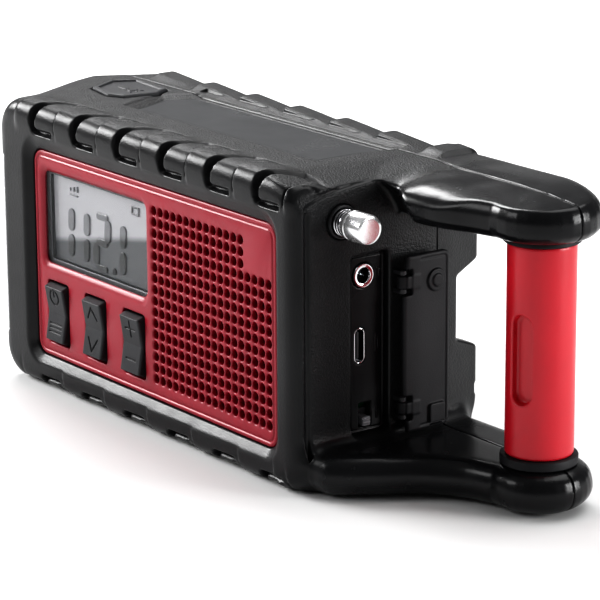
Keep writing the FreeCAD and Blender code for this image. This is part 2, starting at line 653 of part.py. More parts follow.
def crank_parts():
    """Folding crank that lies in its well, with the knob folded into the arm."""
    hub = rod_y(HUB_R, CRANK_X, FLOOR_Y + 0.5, 57.6, CRANK_Z)
    shaft = rod_y(4.0, CRANK_X, 42.6, FLOOR_Y + 0.6, CRANK_Z)
    save("crank_hub", fuse([hub, shaft]))
    tip_x = CRANK_X - CRANK_THROW
    arm = box(tip_x - 3.0, CRANK_X, 50.4, 57.4, CRANK_Z - 6.2, CRANK_Z + 6.2)
    slot = box(tip_x - 5, tip_x + 15.2, 50.0, 58.0, CRANK_Z - 4.1, CRANK_Z + 4.1)
    hub_room = rod_y(HUB_R, CRANK_X, 50.0, 58.0, CRANK_Z)
    pin_bore = rod_z(1.0, tip_x, PIN_Y, CRANK_Z - 7, CRANK_Z + 7)
    save("crank_arm", arm.cut([slot, hub_room, pin_bore]))
    save("crank_knob_pin", rod_z(1.0, tip_x, PIN_Y, CRANK_Z - 6.2, CRANK_Z + 6.2))
    knuckle = rod_z(3.2, tip_x, PIN_Y, CRANK_Z - 3.6, CRANK_Z + 3.6)
    handle = rod_x(3.3, tip_x + 3.6, tip_x + 14.7, PIN_Y, CRANK_Z)
    neck = rod_x(2.2, tip_x, tip_x + 4.0, PIN_Y, CRANK_Z)
    save("crank_knob", fuse([knuckle, neck, handle]).cut(rod_z(1.07, tip_x, PIN_Y, CRANK_Z - 5, CRANK_Z + 5)))


def gear_parts():
    """Drive gear on the crank, a stepped gear, and the dynamo's pinion."""
    save("drive_gear", gear(DRIVE_TEETH, CRANK_X, CRANK_Z, 43.4, 46.6, 4.0, PINION_DEG))
    step = GEAR_MODULE * (DRIVE_TEETH + PINION_TEETH) / 2 + MESH_SLACK
    dx, dz = polar(step, PINION_DEG)
    middle_x = CRANK_X + dx
    middle_z = CRANK_Z + dz
    pinion_turn = PINION_DEG + 180 + 180 / PINION_TEETH
    pinion = gear(PINION_TEETH, middle_x, middle_z, 41.9, 46.6, 1.56, pinion_turn)
    wheel = gear(WHEEL_TEETH, middle_x, middle_z, 39.4, 42.0, 1.56, DYNAMO_DEG)
    save("step_gear", fuse([pinion, wheel]))
    reach = GEAR_MODULE * (WHEEL_TEETH + DYNAMO_TEETH) / 2 + MESH_SLACK
    dx, dz = polar(reach, DYNAMO_DEG)
    end_x = middle_x + dx
    end_z = middle_z + dz
    dynamo_turn = DYNAMO_DEG + 180 + 180 / DYNAMO_TEETH
    teeth = gear(DYNAMO_TEETH, end_x, end_z, 38.9, 42.4, 0.5, dynamo_turn)
    save("dynamo_pinion", fuse([teeth, rod_y(1.0, end_x, 34.0, 42.6, end_z)]))
    case = rod_y(13.0, end_x, 23.0, 36.6, end_z)
    save("dynamo_case", case.cut(rod_y(1.1, end_x, 33.5, 37.0, end_z)))
    plate = box(22.0, 84.0, 36.6, 38.4, 20.0, 63.0)
    pin = rod_y(1.5, middle_x, 36.7, CAVITY_Y1, middle_z)
    save("gearbox_plate", fuse([plate, pin]).cut(rod_y(4.0, end_x, 36, 39, end_z)))


def battery_parts():
    save("battery_pack", box(3.0, 39.0, 45.4, 55.4, 6.0, 54.0))
    door = fuse([
        box(DOOR_X0, DOOR_X1, BACK_Y - DOOR_T, BACK_Y, DOOR_Z0, DOOR_Z1),
        rod_x(DOOR_T / 2, DOOR_X0, DOOR_X1, BACK_Y - DOOR_T / 2, DOOR_Z0),
    ])
    pin_bore = rod_x(0.66, DOOR_X0 - 1, DOOR_X1 + 1, BACK_Y - 1, DOOR_Z0)
    screw_x = (DOOR_X0 + DOOR_X1) / 2
    screw_hole = rod_y(2.5, screw_x, BACK_Y - DOOR_T - 1, BACK_Y + 1, DOOR_Z1 - 5)
    save("battery_door", door.cut([pin_bore, screw_hole]))
    screw = rod_y(2.5, screw_x, BACK_Y - DOOR_T, BACK_Y, DOOR_Z1 - 5)
    save("battery_door_screw", screw.cut(box(screw_x - 2, screw_x + 2, BACK_Y - 0.8, BACK_Y + 1,
                                             DOOR_Z1 - 5.3, DOOR_Z1 - 4.7)))
    save("battery_door_pin", rod_x(0.6, DOOR_X0 - 2.0, DOOR_X1 + 2.0, BACK_Y - 1, DOOR_Z0))


def case_screw(x, z):
    head = rod_y(2.8, x, 56.0, 57.8, z)
    shank = rod_y(1.4, x, 50.0, 56.1, z)
    drive = box(x - 1.6, x + 1.6, 57.0, 58.0, z - 0.35, z + 0.35)
    cross = box(x - 0.35, x + 0.35, 57.0, 58.0, z - 1.6, z + 1.6)
    return fuse([head, shank]).cut([drive, cross])


# Grip -----------------------------------------------------------------------------------------


def grip_parts():
    """Red sleeve on a core that both arms hold, with a collar at each end."""
    sleeve = rod_z(GRIP_R, GRIP_X, GRIP_Y, GRIP_Z0, GRIP_Z1)
    core_hole = rod_z(CORE_R, GRIP_X, GRIP_Y, GRIP_Z0 - 1, GRIP_Z1 + 1)
    recess = fuse([
        box(-2.6, 2.6, -GRIP_R - 1, -GRIP_R + 2.4, 20.2, 36.6),
        rod_y(2.6, 0, -GRIP_R - 1, -GRIP_R + 2.4, 20.2),
        rod_y(2.6, 0, -GRIP_R - 1, -GRIP_R + 2.4, 36.6),
    ])
    recess.Placement = Placement(Vector(GRIP_X, GRIP_Y, 0), Rotation(Vector(0, 0, 1), 14.0))
    save("grip_sleeve", sleeve.cut([core_hole, recess]))
    save("grip_core", rod_z(CORE_R, GRIP_X, GRIP_Y, CASE_Z0 + 5, CASE_Z1 - 5))
    collars = (
        ("grip_collar_lower", CASE_Z0 + ARM_T, GRIP_Z0),
        ("grip_collar_upper", GRIP_Z1, CASE_Z1 - ARM_T),
    )
    for name, z0, z1 in collars:
        collar = rod_z(COLLAR_R, GRIP_X, GRIP_Y, z0, z1)
        save(name, collar.cut(rod_z(CORE_R, GRIP_X, GRIP_Y, z0 - 1, z1 + 1)))


def main():
    os.makedirs("parts", exist_ok=True)
    block = case_block()
    save("front_frame", front_frame(block))
    save("main_case", main_case(block))
    save("rear_case", rear_case(block))
    save("handle_arm_lower", handle_arm_lower())
    save("handle_arm_upper", handle_arm_upper())
    save("face_panel", face_panel())
    display_parts()
    for index, name in enumerate(("rocker_power_menu", "rocker_up_down", "rocker_plus_minus")):
        save(name, rocker(index))
    save("key_mat", key_mat())
    speaker_parts()
    board_parts()
    port_parts()
    cover_parts()
    antenna_parts()
    top_parts()
    torch_parts()
    crank_parts()
    gear_parts()
    battery_parts()
    save("case_screws", Part.Compound([case_screw(x, z) for x, z in SCREW_SPOTS]))
    grip_parts()


main()
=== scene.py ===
import json
import math

import bmesh
import bpy
import numpy as np
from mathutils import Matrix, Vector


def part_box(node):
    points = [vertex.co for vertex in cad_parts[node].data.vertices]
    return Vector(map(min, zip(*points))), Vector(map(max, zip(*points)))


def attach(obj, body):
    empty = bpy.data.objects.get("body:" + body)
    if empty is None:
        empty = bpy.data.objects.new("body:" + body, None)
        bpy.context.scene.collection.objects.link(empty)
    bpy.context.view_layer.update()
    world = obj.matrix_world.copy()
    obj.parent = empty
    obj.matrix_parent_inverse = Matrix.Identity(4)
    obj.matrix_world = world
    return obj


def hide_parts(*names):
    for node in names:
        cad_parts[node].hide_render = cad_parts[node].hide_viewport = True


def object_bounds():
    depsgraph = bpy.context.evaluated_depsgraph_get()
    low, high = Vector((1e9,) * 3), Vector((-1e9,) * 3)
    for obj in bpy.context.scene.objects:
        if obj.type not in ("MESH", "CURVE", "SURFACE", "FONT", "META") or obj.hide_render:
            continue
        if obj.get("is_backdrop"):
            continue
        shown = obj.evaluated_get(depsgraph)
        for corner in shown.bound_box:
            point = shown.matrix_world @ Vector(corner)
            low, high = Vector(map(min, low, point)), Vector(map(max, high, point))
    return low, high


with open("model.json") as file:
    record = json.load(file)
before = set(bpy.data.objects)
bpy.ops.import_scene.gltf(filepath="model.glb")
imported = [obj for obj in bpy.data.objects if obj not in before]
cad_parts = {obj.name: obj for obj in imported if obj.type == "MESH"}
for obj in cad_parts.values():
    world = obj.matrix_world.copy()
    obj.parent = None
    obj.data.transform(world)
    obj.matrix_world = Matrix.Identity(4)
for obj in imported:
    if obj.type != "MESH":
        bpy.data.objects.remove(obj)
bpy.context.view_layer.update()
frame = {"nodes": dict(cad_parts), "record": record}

import openvdb
from mathutils import Matrix, Vector
from numpy import clip, hypot, maximum, minimum, where

# Everything is shaped in the face frame, in millimetres: X along the face towards the grip,
# Y into the case, Z up, from the lower left corner of the red panel. ZERO moves it to the row.
MM = 0.001
ZERO = np.array(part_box("face_panel")[0]) / MM


def row(point):
    """A point of the face frame in the row frame, in metres."""
    return Vector((np.array(point, float) + ZERO) * MM)


def near(node):
    """A CAD node's box in the face frame, in millimetres."""
    low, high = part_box(node)
    return np.array(low) / MM - ZERO, np.array(high) / MM - ZERO


# Signed distance fields --------------------


def smax(a, b, k):
    """Larger of two distances, with the edge between them rounded over about k millimetres."""
    if np.max(k) <= 0:
        return maximum(a, b)
    h = maximum(k - np.abs(a - b), 0)
    return maximum(a, b) + h * h / (4 * k)


def smin(a, b, k):
    return -smax(-a, -b, k)


def step_up(value, start, end):
    t = clip((value - start) / (end - start), 0, 1)
    return t * t * (3 - 2 * t)


def outline_sd(points, u, v):
    """Signed distance to a closed outline, negative inside."""
    best = None
    inside = False
    for index, (bu, bv) in enumerate(points):
        au, av = points[index - 1]
        eu, ev = bu - au, bv - av
        wu, wv = u - au, v - av
        t = clip((wu * eu + wv * ev) / (eu * eu + ev * ev), 0, 1)
        du, dv = wu - eu * t, wv - ev * t
        square = du * du + dv * dv
        best = square if best is None else minimum(best, square)
        if ev:
            crosses = ((av > v) != (bv > v)) & (u < au + (v - av) * (eu / ev))
            inside = inside ^ crosses
    return where(inside, -1, 1) * np.sqrt(best)


def rect_sd(u, v, u0, u1, v0, v1, r):
    """Signed distance to a rounded rectangle."""
    qu = np.abs(u - (u0 + u1) / 2) - (u1 - u0) / 2 + r
    qv = np.abs(v - (v0 + v1) / 2) - (v1 - v0) / 2 + r
    return hypot(maximum(qu, 0), maximum(qv, 0)) + minimum(maximum(qu, qv), 0) - r


def slab(value, low, high):
    return np.abs(value - (low + high) / 2) - (high - low) / 2


def half(u, v, point, normal):
    """Distance in front of a line through point, along its normal."""
    length = math.hypot(*normal)
    return ((u - point[0]) * normal[0] + (v - point[1]) * normal[1]) / length


def smooth_line(points, count):
    """Points along a smooth line through the given ones."""
    p = np.array(points, float)
    p = np.vstack([2 * p[0] - p[1], p, 2 * p[-1] - p[-2]])
    out = []
    for i in range(1, len(p) - 2):
        for t in np.arange(count) / count:
            a, b, c, d = p[i - 1:i + 3]
            out.append(0.5 * (2 * b + (c - a) * t + (2 * a - 5 * b + 4 * c - d) * t * t
                              + (3 * b - a - 3 * c + d) * t ** 3))
    out.append(p[-2])
    return [tuple(q) for q in out]


def arc(cx, cy, radius, start, end, count):
    return [(cx + radius * math.cos(math.radians(a)), cy + radius * math.sin(math.radians(a)))
            for a in np.linspace(start, end, count)]


class Field:
    """Signed distance on a grid, in millimetres: negative inside the piece."""

    def __init__(self, low, high, step):
        self.low = np.array(low, float)
        self.step = step
        count = np.ceil((np.array(high) - self.low) / step).astype(int) + 1
        self.axes = [(self.low[i] + step * np.arange(count[i])).astype(np.float32) for i in range(3)]
        self.d = np.full(count, 9, np.float32)

    def window(self, spans):
        cuts, grids = [], []
        for i in range(3):
            span = spans[i] or (-999, 999)
            first, last = np.searchsorted(self.axes[i], span)
            cuts.append(slice(first, last))
            shape = [1, 1, 1]
            shape[i] = -1
            grids.append(self.axes[i][first:last].reshape(shape))
        return tuple(cuts), grids

    def change(self, rule, x=None, y=None, z=None):
        """rule(d, X, Y, Z) gives the new distances inside a window."""
        cut, grids = self.window((x, y, z))
        old = self.d[cut]
        if old.size:
            self.d[cut] = rule(old, *grids)

    def add(self, shape, k=0, x=None, y=None, z=None):
        self.change(lambda d, X, Y, Z: smin(d, shape(X, Y, Z), k), x, y, z)

    def cut(self, shape, k=0, x=None, y=None, z=None):
        self.change(lambda d, X, Y, Z: smax(d, -shape(X, Y, Z), k), x, y, z)

    def keep(self, shape, k=0, x=None, y=None, z=None):
        self.change(lambda d, X, Y, Z: smax(d, shape(X, Y, Z), k), x, y, z)

    def surface(self, d=None):
        grid = openvdb.FloatGrid(9.0)
        grid.copyFromArray(self.d if d is None else d)
        grid.transform = openvdb.createLinearTransform(voxelSize=self.step)
        points, quads = grid.convertToQuads(isovalue=0.0)
        return points + self.low, quads


# Building pieces --------------------


def finish_piece(ob, body, material, replaced=()):
    bpy.context.scene.collection.objects.link(ob)
    ob.data.materials.append(material)
    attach(ob, body)
    if replaced:
        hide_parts(*replaced)
    return ob


def field_mesh(name, field, d=None, most=None):
    """Mesh of a field's surface, thinned to at most so many triangles."""
    points, quads = field.surface(d)
    mesh = bpy.data.meshes.new(name)
    mesh.vertices.add(len(points))
    mesh.vertices.foreach_set("co", ((points + ZERO) * MM).astype(np.float32).ravel())
    mesh.loops.add(quads.size)
    mesh.loops.foreach_set("vertex_index", quads.astype(np.int32).ravel())
    mesh.polygons.add(len(quads))
    mesh.polygons.foreach_set("loop_start", np.arange(0, quads.size, 4, dtype=np.int32))
    mesh.update(calc_edges=True)
    mesh.validate()
    mesh.shade_smooth()
    if most and 2 * len(quads) > most:
        ob = bpy.data.objects.new(name + "_thin", mesh)
        bpy.context.scene.collection.objects.link(ob)
        ob.modifiers.new("thin", "DECIMATE").ratio = most / (2 * len(quads))
        thinned = bpy.data.meshes.new_from_object(ob.evaluated_get(bpy.context.evaluated_depsgraph_get()))
        bpy.data.objects.remove(ob)
        bpy.data.meshes.remove(mesh)
        mesh = thinned
        mesh.name = name
        mesh.shade_smooth()
    return mesh


def field_piece(name, field, body, material, replaced=(), most=None, d=None):
    mesh = field_mesh(name, field, d, most)
    return finish_piece(bpy.data.objects.new(name, mesh), body, material, replaced)


# The case --------------------

X0, X1, Z0, Z1 = -16, 118.5, -9, 68
FRONT, SHOULDER, BACK, SPLIT, SPLIT_GAP = -1.8, 50.2, 58.5, 41.3, 0.04
FLARE = (-22.3, 33.3)
MID_Z = (Z0 + Z1) / 2
PITCH, CUSP = 20.05, 13.75
GRIP = (156.8, 41.3)
LOBE = 13.8
ANTENNA = (12.3, 57)
CRANK = (82, 29.5)
WELL_Y = 49.4
DECK_Z, PANE_Z = 66.2, 67.5
SOCKETS = (15, 26.4, 3, 48)
CASE_SCREWS = ((48.5, 52), (48.5, 7), (110.5, 52.5), (110.5, 6.5))
PANEL_W, PANEL_H = 108.9, 56.2
SOLAR = ((22.4, 17.9), (16, 32), (20.5, 38.6), (102.1, 38.6), (100.7, 32.8), (100.7, 17.9))
LAMP_KEY = ((-6, 22.8), (-11.3, 31.9), (-7.4, 38.9), (8.6, 37.4), (11.1, 32.8), (9.4, 22.9), (4.6, 20.7))
EDGE_R = 4.5
EDGE_Y, EDGE_Z = FRONT + EDGE_R, Z1 - EDGE_R
TOP_S = EDGE_R * math.pi / 2


def front_run(Y, Z):
    """Run over the front upper edge: 0 at the end of the front face, then back along the top."""
    round_part = EDGE_R * np.arctan2(maximum(Z - EDGE_Z, 0), maximum(EDGE_Y - Y, 0) + 1e-6)
    return where(Z < EDGE_Z, Z - EDGE_Z, where(Y > EDGE_Y, TOP_S + Y - EDGE_Y, round_part))


def rear_run(Y, Z):
    """The same run over the rear upper edge, where the shoulder slopes down to the back."""
    down = ((Y - SHOULDER) * (BACK - SHOULDER) - (Z - Z1) * 11) / 13.78
    return TOP_S - where(down > 0, down, Y - SHOULDER)


OUTER = smooth_line([(12.1, -3.1), (4.4, -3.1), (2.7, -2.2), (2.1, 0), (2.2, 3), (3, 6.2), (4.5, 8.8),
                     (6.1, 11), (7.9, 12.9), (9.6, 13.7), (17.8, 13.6)], 3)
PAD = smooth_line([(17.2, 12.9), (12.4, 11.7), (9.4, 10.1), (7.2, 7.6), (5.8, 4.6), (4.9, 1.6), (4.7, -0.3),
                   (5.5, -1.3), (12.1, -1.3)], 3)


def groove_depth(U, S):
    """Depth of one scale's C-shaped groove: steep beside the pad, sloping up to its outer edge on top."""
    rim = outline_sd(OUTER + [(40, 13.4), (40, -3.1)], U, S)
    pad = outline_sd(PAD + [(40, -1.3), (40, 12.9)], U, S)
    end = where(S > 5, 99, 12.1 - U)
    slope = 4 - 3.35 * step_up(S, 2, 7)
    depth = minimum(minimum(-rim * slope, pad * 3), end * 4)
    return clip(depth, 0, 1.7)


def bulge(X):
    """How far a scale stands out: most just right of each cusp, nothing at the next one."""
    t = ((X - CUSP) / PITCH) % 1
    return step_up(t, 0, 0.05) * (1 - t) ** 0.75


def armour(field):
    """Scales, C-shaped grooves and parting lines along the four long edges."""
    for upper in (True, False):
        z_span = (55, 72) if upper else (-13, 4)

        def level(Z):
            return Z if upper else 2 * MID_Z - Z

        def swell(d, X, Y, Z, run, amount, far, start):
            s = run(Y, level(Z))
            weight = step_up(s, -4.5, 0.5) * (1 - step_up(s, far - 4, far))
            weight = weight * step_up(X, start, start + 4)
            place = X if start > -10 else CUSP + (X - 11.7) * 1.023
            if upper:
                return d - amount * bulge(place) * weight * (1 - step_up(X, 116.5, 118.5))
            return d + 0.5 * amount * (1 - bulge(place)) * weight

        field.change(lambda d, X, Y, Z: swell(d, X, Y, Z, front_run, 0.9, 14, -7.5),
                     x=(-9, 120), y=(-4, 14), z=z_span)
        field.change(lambda d, X, Y, Z: swell(d, X, Y, Z, rear_run, 1.5, 16, -13),
                     x=(-14, 118), y=(37, 62), z=z_span)
        for index in range(6):
            shift = PITCH * index

            def groove(d, X, Y, Z, run):
                s = run(Y, level(Z)) - (0 if upper else 4.2)
                u = X - shift
                depth = groove_depth(u, s)
                line = np.abs(u - CUSP - 5.5 * step_up(s, 4, 13)) - 0.28
                part = where((s > -1.6) & (s < 13.2), clip(-line * 3, 0, 0.5), 0)
                return d + maximum(depth, part)

            def rear_groove(d, X, Y, Z):
                grooved = groove(d, X, Y, Z, rear_run)
                return grooved - (grooved - d) * step_up(rear_run(Y, level(Z)), -1, 3)

            x_span = (shift + 1, shift + 20.5)
            field.change(lambda d, X, Y, Z: groove(d, X, Y, Z, front_run), x=x_span, y=(-4, 10.5), z=z_span)
            if index < 5:
                field.change(rear_groove, x=x_span, y=(41, 62), z=z_span)


def arm_field(X, Y, Z, outline, upper):
    """One handle arm: swept outline, wide round outer edge, and a crease with a bevel under it."""
    plan = outline_sd(outline, X, Y)
    level = Z if upper else 2 * MID_Z - Z
    if upper:
        r = 2.4 + 3.6 * maximum(step_up(X, 150, 162), 1 - step_up(Y, 38, 48))
        d = hypot(maximum(plan + r, 0), maximum(Z - Z1 + r, 0)) - r
    else:
        d = smax(plan, level - Z1, 9.5)
    d = smax(d, (plan + (59.6 - level) * 0.9) * 0.75, 0.5 if upper else 5)
    return smax(d, 57 - level, 1.6 if upper else 2.6)


def body_field(field):
    """The closed body with its slanting left side, the two arms and the sloping top of the upper one."""
    def block(d, X, Y, Z):
        right = 9 - 6.8 * step_up(Y, 0, 12)
        left = 9 - 7.4 * step_up(Y, 2, FLARE[1])
        side = X0 + (FLARE[0] - X0) * clip((Y - 8) / (FLARE[1] - 8), 0, 1.5)
        shape = rect_sd(X, Z, side, X1, Z0, Z1, where(X > 50, right, left))
        shape = smax(shape, FRONT - Y, 5.2)
        shape = smax(shape, Y - BACK, 1.4)
        for sign, z in ((1, Z1), (-1, Z0)):
            shape = smax(shape, half(Y, Z, (SHOULDER, z), (11, 8.3 * sign)), 1.6)
        for point, normal in ((FLARE, (-16.9, 9.7)), ((X1, 43), (15.5, 5))):
            shape = smax(shape, half(X, Y, point, normal), 1.4)
        return shape

    field.change(block)
    lower = smooth_line([(X1 - 8, -0.9), (X1, 0.2), (126, 1.6), (133.6, 11), (139.2, 19.2), (146.3, 25),
                         (GRIP[0] - 3, 27.7)], 6)
    upper = smooth_line([(X1 - 8, 21.5), (X1, 21.5), (128, 21.6), (138, 22.9), (147, 25.9),
                         (GRIP[0] - 3, 27.7)], 6)
    nose = arc(*GRIP, LOBE, -90, 90, 17)
    tail = [(X1, 54.5), (X1 - 8, 54.5)]

    def lower_arm(d, X, Y, Z):
        return smin(d, arm_field(X, Y, Z, lower + nose + tail, False), 4.5)

    def upper_arm(d, X, Y, Z):
        arm = arm_field(X, Y, Z, upper + nose + tail, True)
        ball = np.sqrt((X - X1) ** 2 + (Y - 11) ** 2 + (Z - 51) ** 2) - 19
        return smin(d, smax(arm, -ball, 0.8), 1.6)

    field.change(lower_arm, x=(X1 - 9, 999), z=(-12, 14))
    field.change(upper_arm, x=(X1 - 9, 999), z=(50, 72))

    ramp_x = 100
    first = np.searchsorted(field.axes[0], ramp_x)
    swept = outline_sd(upper[2:] + arc(*GRIP, LOBE, -90, -5, 9)
                       + [(GRIP[0] + LOBE, 90), (90, 90), (90, 21.5)],
                       field.axes[0][first:, None, None], field.axes[1][None, :, None])

    def slopes(d, X, Y, Z):
        """Top of the upper arm: falls towards the tip and towards the front."""
        end = half(X, Y, (109, 31), (1, -0.15)) * 0.2
        root = half(X, Y, (109, 31), (11, -13)) * 0.17 * (1 - step_up(X, 119, 136))
        sweep = half(X, Y, (122, 42), (10, -25)) * 0.06
        fall = minimum(end, smax(root, sweep, 0.6))
        reach = 15 + 7 * step_up(X, 127, 140)
        drop = clip((swept + reach) / reach, 0, 1.2) ** 2 * 2 * step_up(X, 118, 124)
        tip = step_up(X, 138, 150)
        soft = 2.5 * step_up(X, 119, 125) * (1 - tip) * (1 - step_up(Y, 36, 46))
        return smax(d, (Z - Z1 + fall + drop * (1 - 0.5 * tip)) * 0.98, 0.5 + soft)

    field.change(slopes, x=(ramp_x, 999), z=(56, 72))
    field.keep(lambda X, Y, Z: maximum(Z - Z1, Z0 - Z))


def face_cuts(field):
    """Opening and bevel round the red panel, and the torch lens's seat."""
    def bevel(X, Y, Z):
        t = 1 - clip((Y - FRONT) / (0 - FRONT), 0, 1)
        opening = rect_sd(X, Z, -2.6 * t, PANEL_W + 2.4 * t, -2.7 * t, PANEL_H + 3.6 * t, 4 + 2.5 * t)
        return smax(opening * 0.75, Y - 0.02, 0)

    field.cut(bevel, 0.5, y=(-4, 1))
    field.cut(lambda X, Y, Z: maximum(rect_sd(X, Z, 0, PANEL_W, 0, PANEL_H, 4), slab(Y, -0.3, 4.2)), 0.2,
              y=(-1, 5))
    field.cut(lambda X, Y, Z: maximum(rect_sd(Y, Z, -8, 26, 3, 52, 1.2), X + 12.6), 0.5, x=(-26, -11))
    field.cut(lambda X, Y, Z: maximum(rect_sd(Y, Z, 4, 24, 8, 48, 1), slab(X, -13, -10)), 0,
              x=(-14, -9))


def end_cuts(field):
    """Socket recess, antenna hole and the grooves round the right end face."""
    field.cut(lambda X, Y, Z: maximum(rect_sd(Y, Z, *SOCKETS, 1.4), 115 - X), 0.5, x=(114.5, 121))
    field.cut(lambda X, Y, Z: maximum(hypot(Y - ANTENNA[0], Z - ANTENNA[1]) - 4.2, slab(X, 114, 121)), 0.4,
              x=(113, 121))

    def edge_groove(X, Y, Z):
        line = maximum(slab(Y, 1.5, 2.5), slab(Z, -3, 60.4))
        return smax(smax(line, 117.6 - X, 0.3), X - 121, 0)

    field.cut(edge_groove, 0.6, x=(116.5, 120), y=(0, 4.5))

    def band_groove(X, Y, Z):
        top = 61.2 + 4.9 * np.sqrt(clip((Y - 0.8) / 20.5, 0, 1)) ** 0.8
        return maximum(maximum(slab(Z, top - 0.5, top + 0.4), 117.7 - X), slab(Y, 1.2, 21.4))

    field.cut(band_groove, 0.5, x=(116.5, 120), y=(0, 23), z=(58, 68))


def top_cuts(field):
    """Solar deck with its sloping left and rear borders, and the torch key's hole."""
    key = outline_sd(LAMP_KEY, field.axes[0][:, None, None], field.axes[1][None, :, None])
    field.change(lambda d, X, Y, Z: smax(d, -maximum(key - 0.35, 60.5 - Z), 0.5), z=(60, 72))

    (x0, y0), (x1, y1), (x2, y2), _, (x4, y4), _ = SOLAR

    def deck(X, Y, Z):
        fixed = maximum(y0 - Y, half(X, Y, (x4, y4), (1, 0)) - clip(Y - y4, 0, 9) * 0.24)
        left = maximum(half(X, Y, (x0, y0), (y0 - y1, x1 - x0)), half(X, Y, (x2, y2), (y1 - y2, x2 - x1)))
        free = maximum(left, Y - y2)
        ramp = clip((Z - 66.7) * 4.4, 0, 5.7)
        return maximum(maximum(fixed, free - ramp), DECK_Z - Z)

    field.cut(deck, 0.25, x=(8, 106), y=(16, 46), z=(65, 70))
    for offset in (1, 2.2, 3.4):
        field.cut(lambda X, Y, Z: maximum(slab(Y, y2 + offset, y2 + offset + 0.35),
                                          maximum(slab(X, 23, 99), 66.55 + offset * 0.227 - Z)),
                  0.1, x=(22, 100), y=(38, 44), z=(66, 69))


def hollow(field):
    """The room inside the case."""
    def inside(X, Y, Z):
        room = rect_sd(X, Z, where(Y < 27, -10.5, -14.5), 116, -6.5, 65.5, 6.5)
        room = smax(room, half(X, Y, (-14.5, 36), (-6.3, 6)), 1)
        return smax(maximum(room, -3.5 - X - 100 * (Y < 40)), slab(Y, 4, 43.4), 0.5)

    field.cut(inside, 0.5, x=(-16, 117.5), y=(3, 45), z=(-8, 67))
    field.cut(lambda X, Y, Z: smax(rect_sd(X, Z, 45.5, 114, -6.5, 65.5, 6.5), slab(Y, 40, 47.4), 0.5), 0.5,
              x=(44, 115.5), y=(39, 48.5), z=(-8, 67))


def back_cuts(field):
    """Crank well with its open side, battery bay, door seat and screw holes."""
    def well(X, Y, Z):
        disc = hypot(X - CRANK[0], Z - CRANK[1]) - 27.3 - clip(Y - 57.3, 0, 1.2) * 0.8
        half_gap = 8 + maximum(Y - WELL_Y, 0) * 0.35
        side = maximum(np.abs(Z - 29.2 + (Y - WELL_Y) * 0.05) - half_gap, CRANK[0] - X)
        return smax(smin(disc, side, 2), WELL_Y - Y, 0.8)

    field.cut(well, 0.9, x=(52, 125), y=(48, 61), z=(0, 59))
    holes = [(4.1, CRANK[0], CRANK[1], 46)]
    for x, z in CASE_SCREWS:
        holes += [(3.2, x, z, 56), (1.4, x, z, 50)]
    for r, x, z, y in holes:
        field.cut(lambda X, Y, Z: maximum(hypot(X - x, Z - z) - r, y - Y), 0.3,
                  x=(x - 5, x + 5), z=(z - 5, z + 5), y=(44, 61))
    field.cut(lambda X, Y, Z: maximum(rect_sd(X, Z, 1, 41, 5, 55, 1), 45.2 - Y), 0.3,
              x=(-1, 43), y=(44, 61), z=(3, 57))
    field.cut(lambda X, Y, Z: maximum(rect_sd(X, Z, -1.05, 43.05, 2.1, 57.05, 1.2), 56 - Y), 0.4,
              x=(-3, 45), y=(55, 61), z=(0, 59))
    notch = (21, 57.4)
    field.cut(lambda X, Y, Z: maximum(hypot(X - notch[0], (Z - notch[1]) * 1.6) - 5.5, 56.6 - Y), 0.5,
              x=(14, 28), y=(55, 61), z=(52, 64))


def make_case():
    size = 0.4
    field = Field((-24.5, -4.5, -11), (172.5, 60.6, 70.8), size)
    body_field(field)
    armour(field)
    face_cuts(field)
    end_cuts(field)
    top_cuts(field)
    hollow(field)
    back_cuts(field)
    Y = field.axes[1][None, :, None]
    front_nodes = ("front_frame", "main_case", "handle_arm_lower", "handle_arm_upper")
    for name, side, nodes in (("case_front", Y - SPLIT + SPLIT_GAP, front_nodes),
                              ("case_rear", SPLIT + SPLIT_GAP - Y, ("rear_case",))):
        field_piece(name, field, "housing", LOOKS["case_black"], nodes, MOST,
                    smax(field.d, side, 0.25))


# Smaller pieces --------------------


def carve(name, low, high, step, shape, body, slot, replaced=(), look=None, most=None):
    """A piece from one distance rule, inside a box a little larger than the piece."""
    field = Field(np.array(low) - 4 * step, np.array(high) + 4 * step, step * (1))
    field.add(shape)
    return field_piece(name, field, body, LOOKS[look or slot], replaced, most)


def paint(ob, material, rule):
    """Gives a second material to the faces whose centres, in face millimetres, satisfy a rule."""
    mesh = ob.data
    mesh.materials.append(material)
    centres = np.empty(len(mesh.polygons) * 3, np.float32)
    mesh.polygons.foreach_get("center", centres)
    centres = centres.reshape(-1, 3) / MM - ZERO
    chosen = rule(*centres.T)
    index = where(chosen, len(mesh.materials) - 1, 0).astype(np.int32)
    mesh.polygons.foreach_set("material_index", index)
    mesh.update()


def bar(u, v, start, end, r):
    """Signed distance to a round-ended bar."""
    eu, ev = end[0] - start[0], end[1] - start[1]
    t = clip(((u - start[0]) * eu + (v - start[1]) * ev) / (eu * eu + ev * ev), 0, 1)
    return hypot(u - start[0] - eu * t, v - start[1] - ev * t) - r


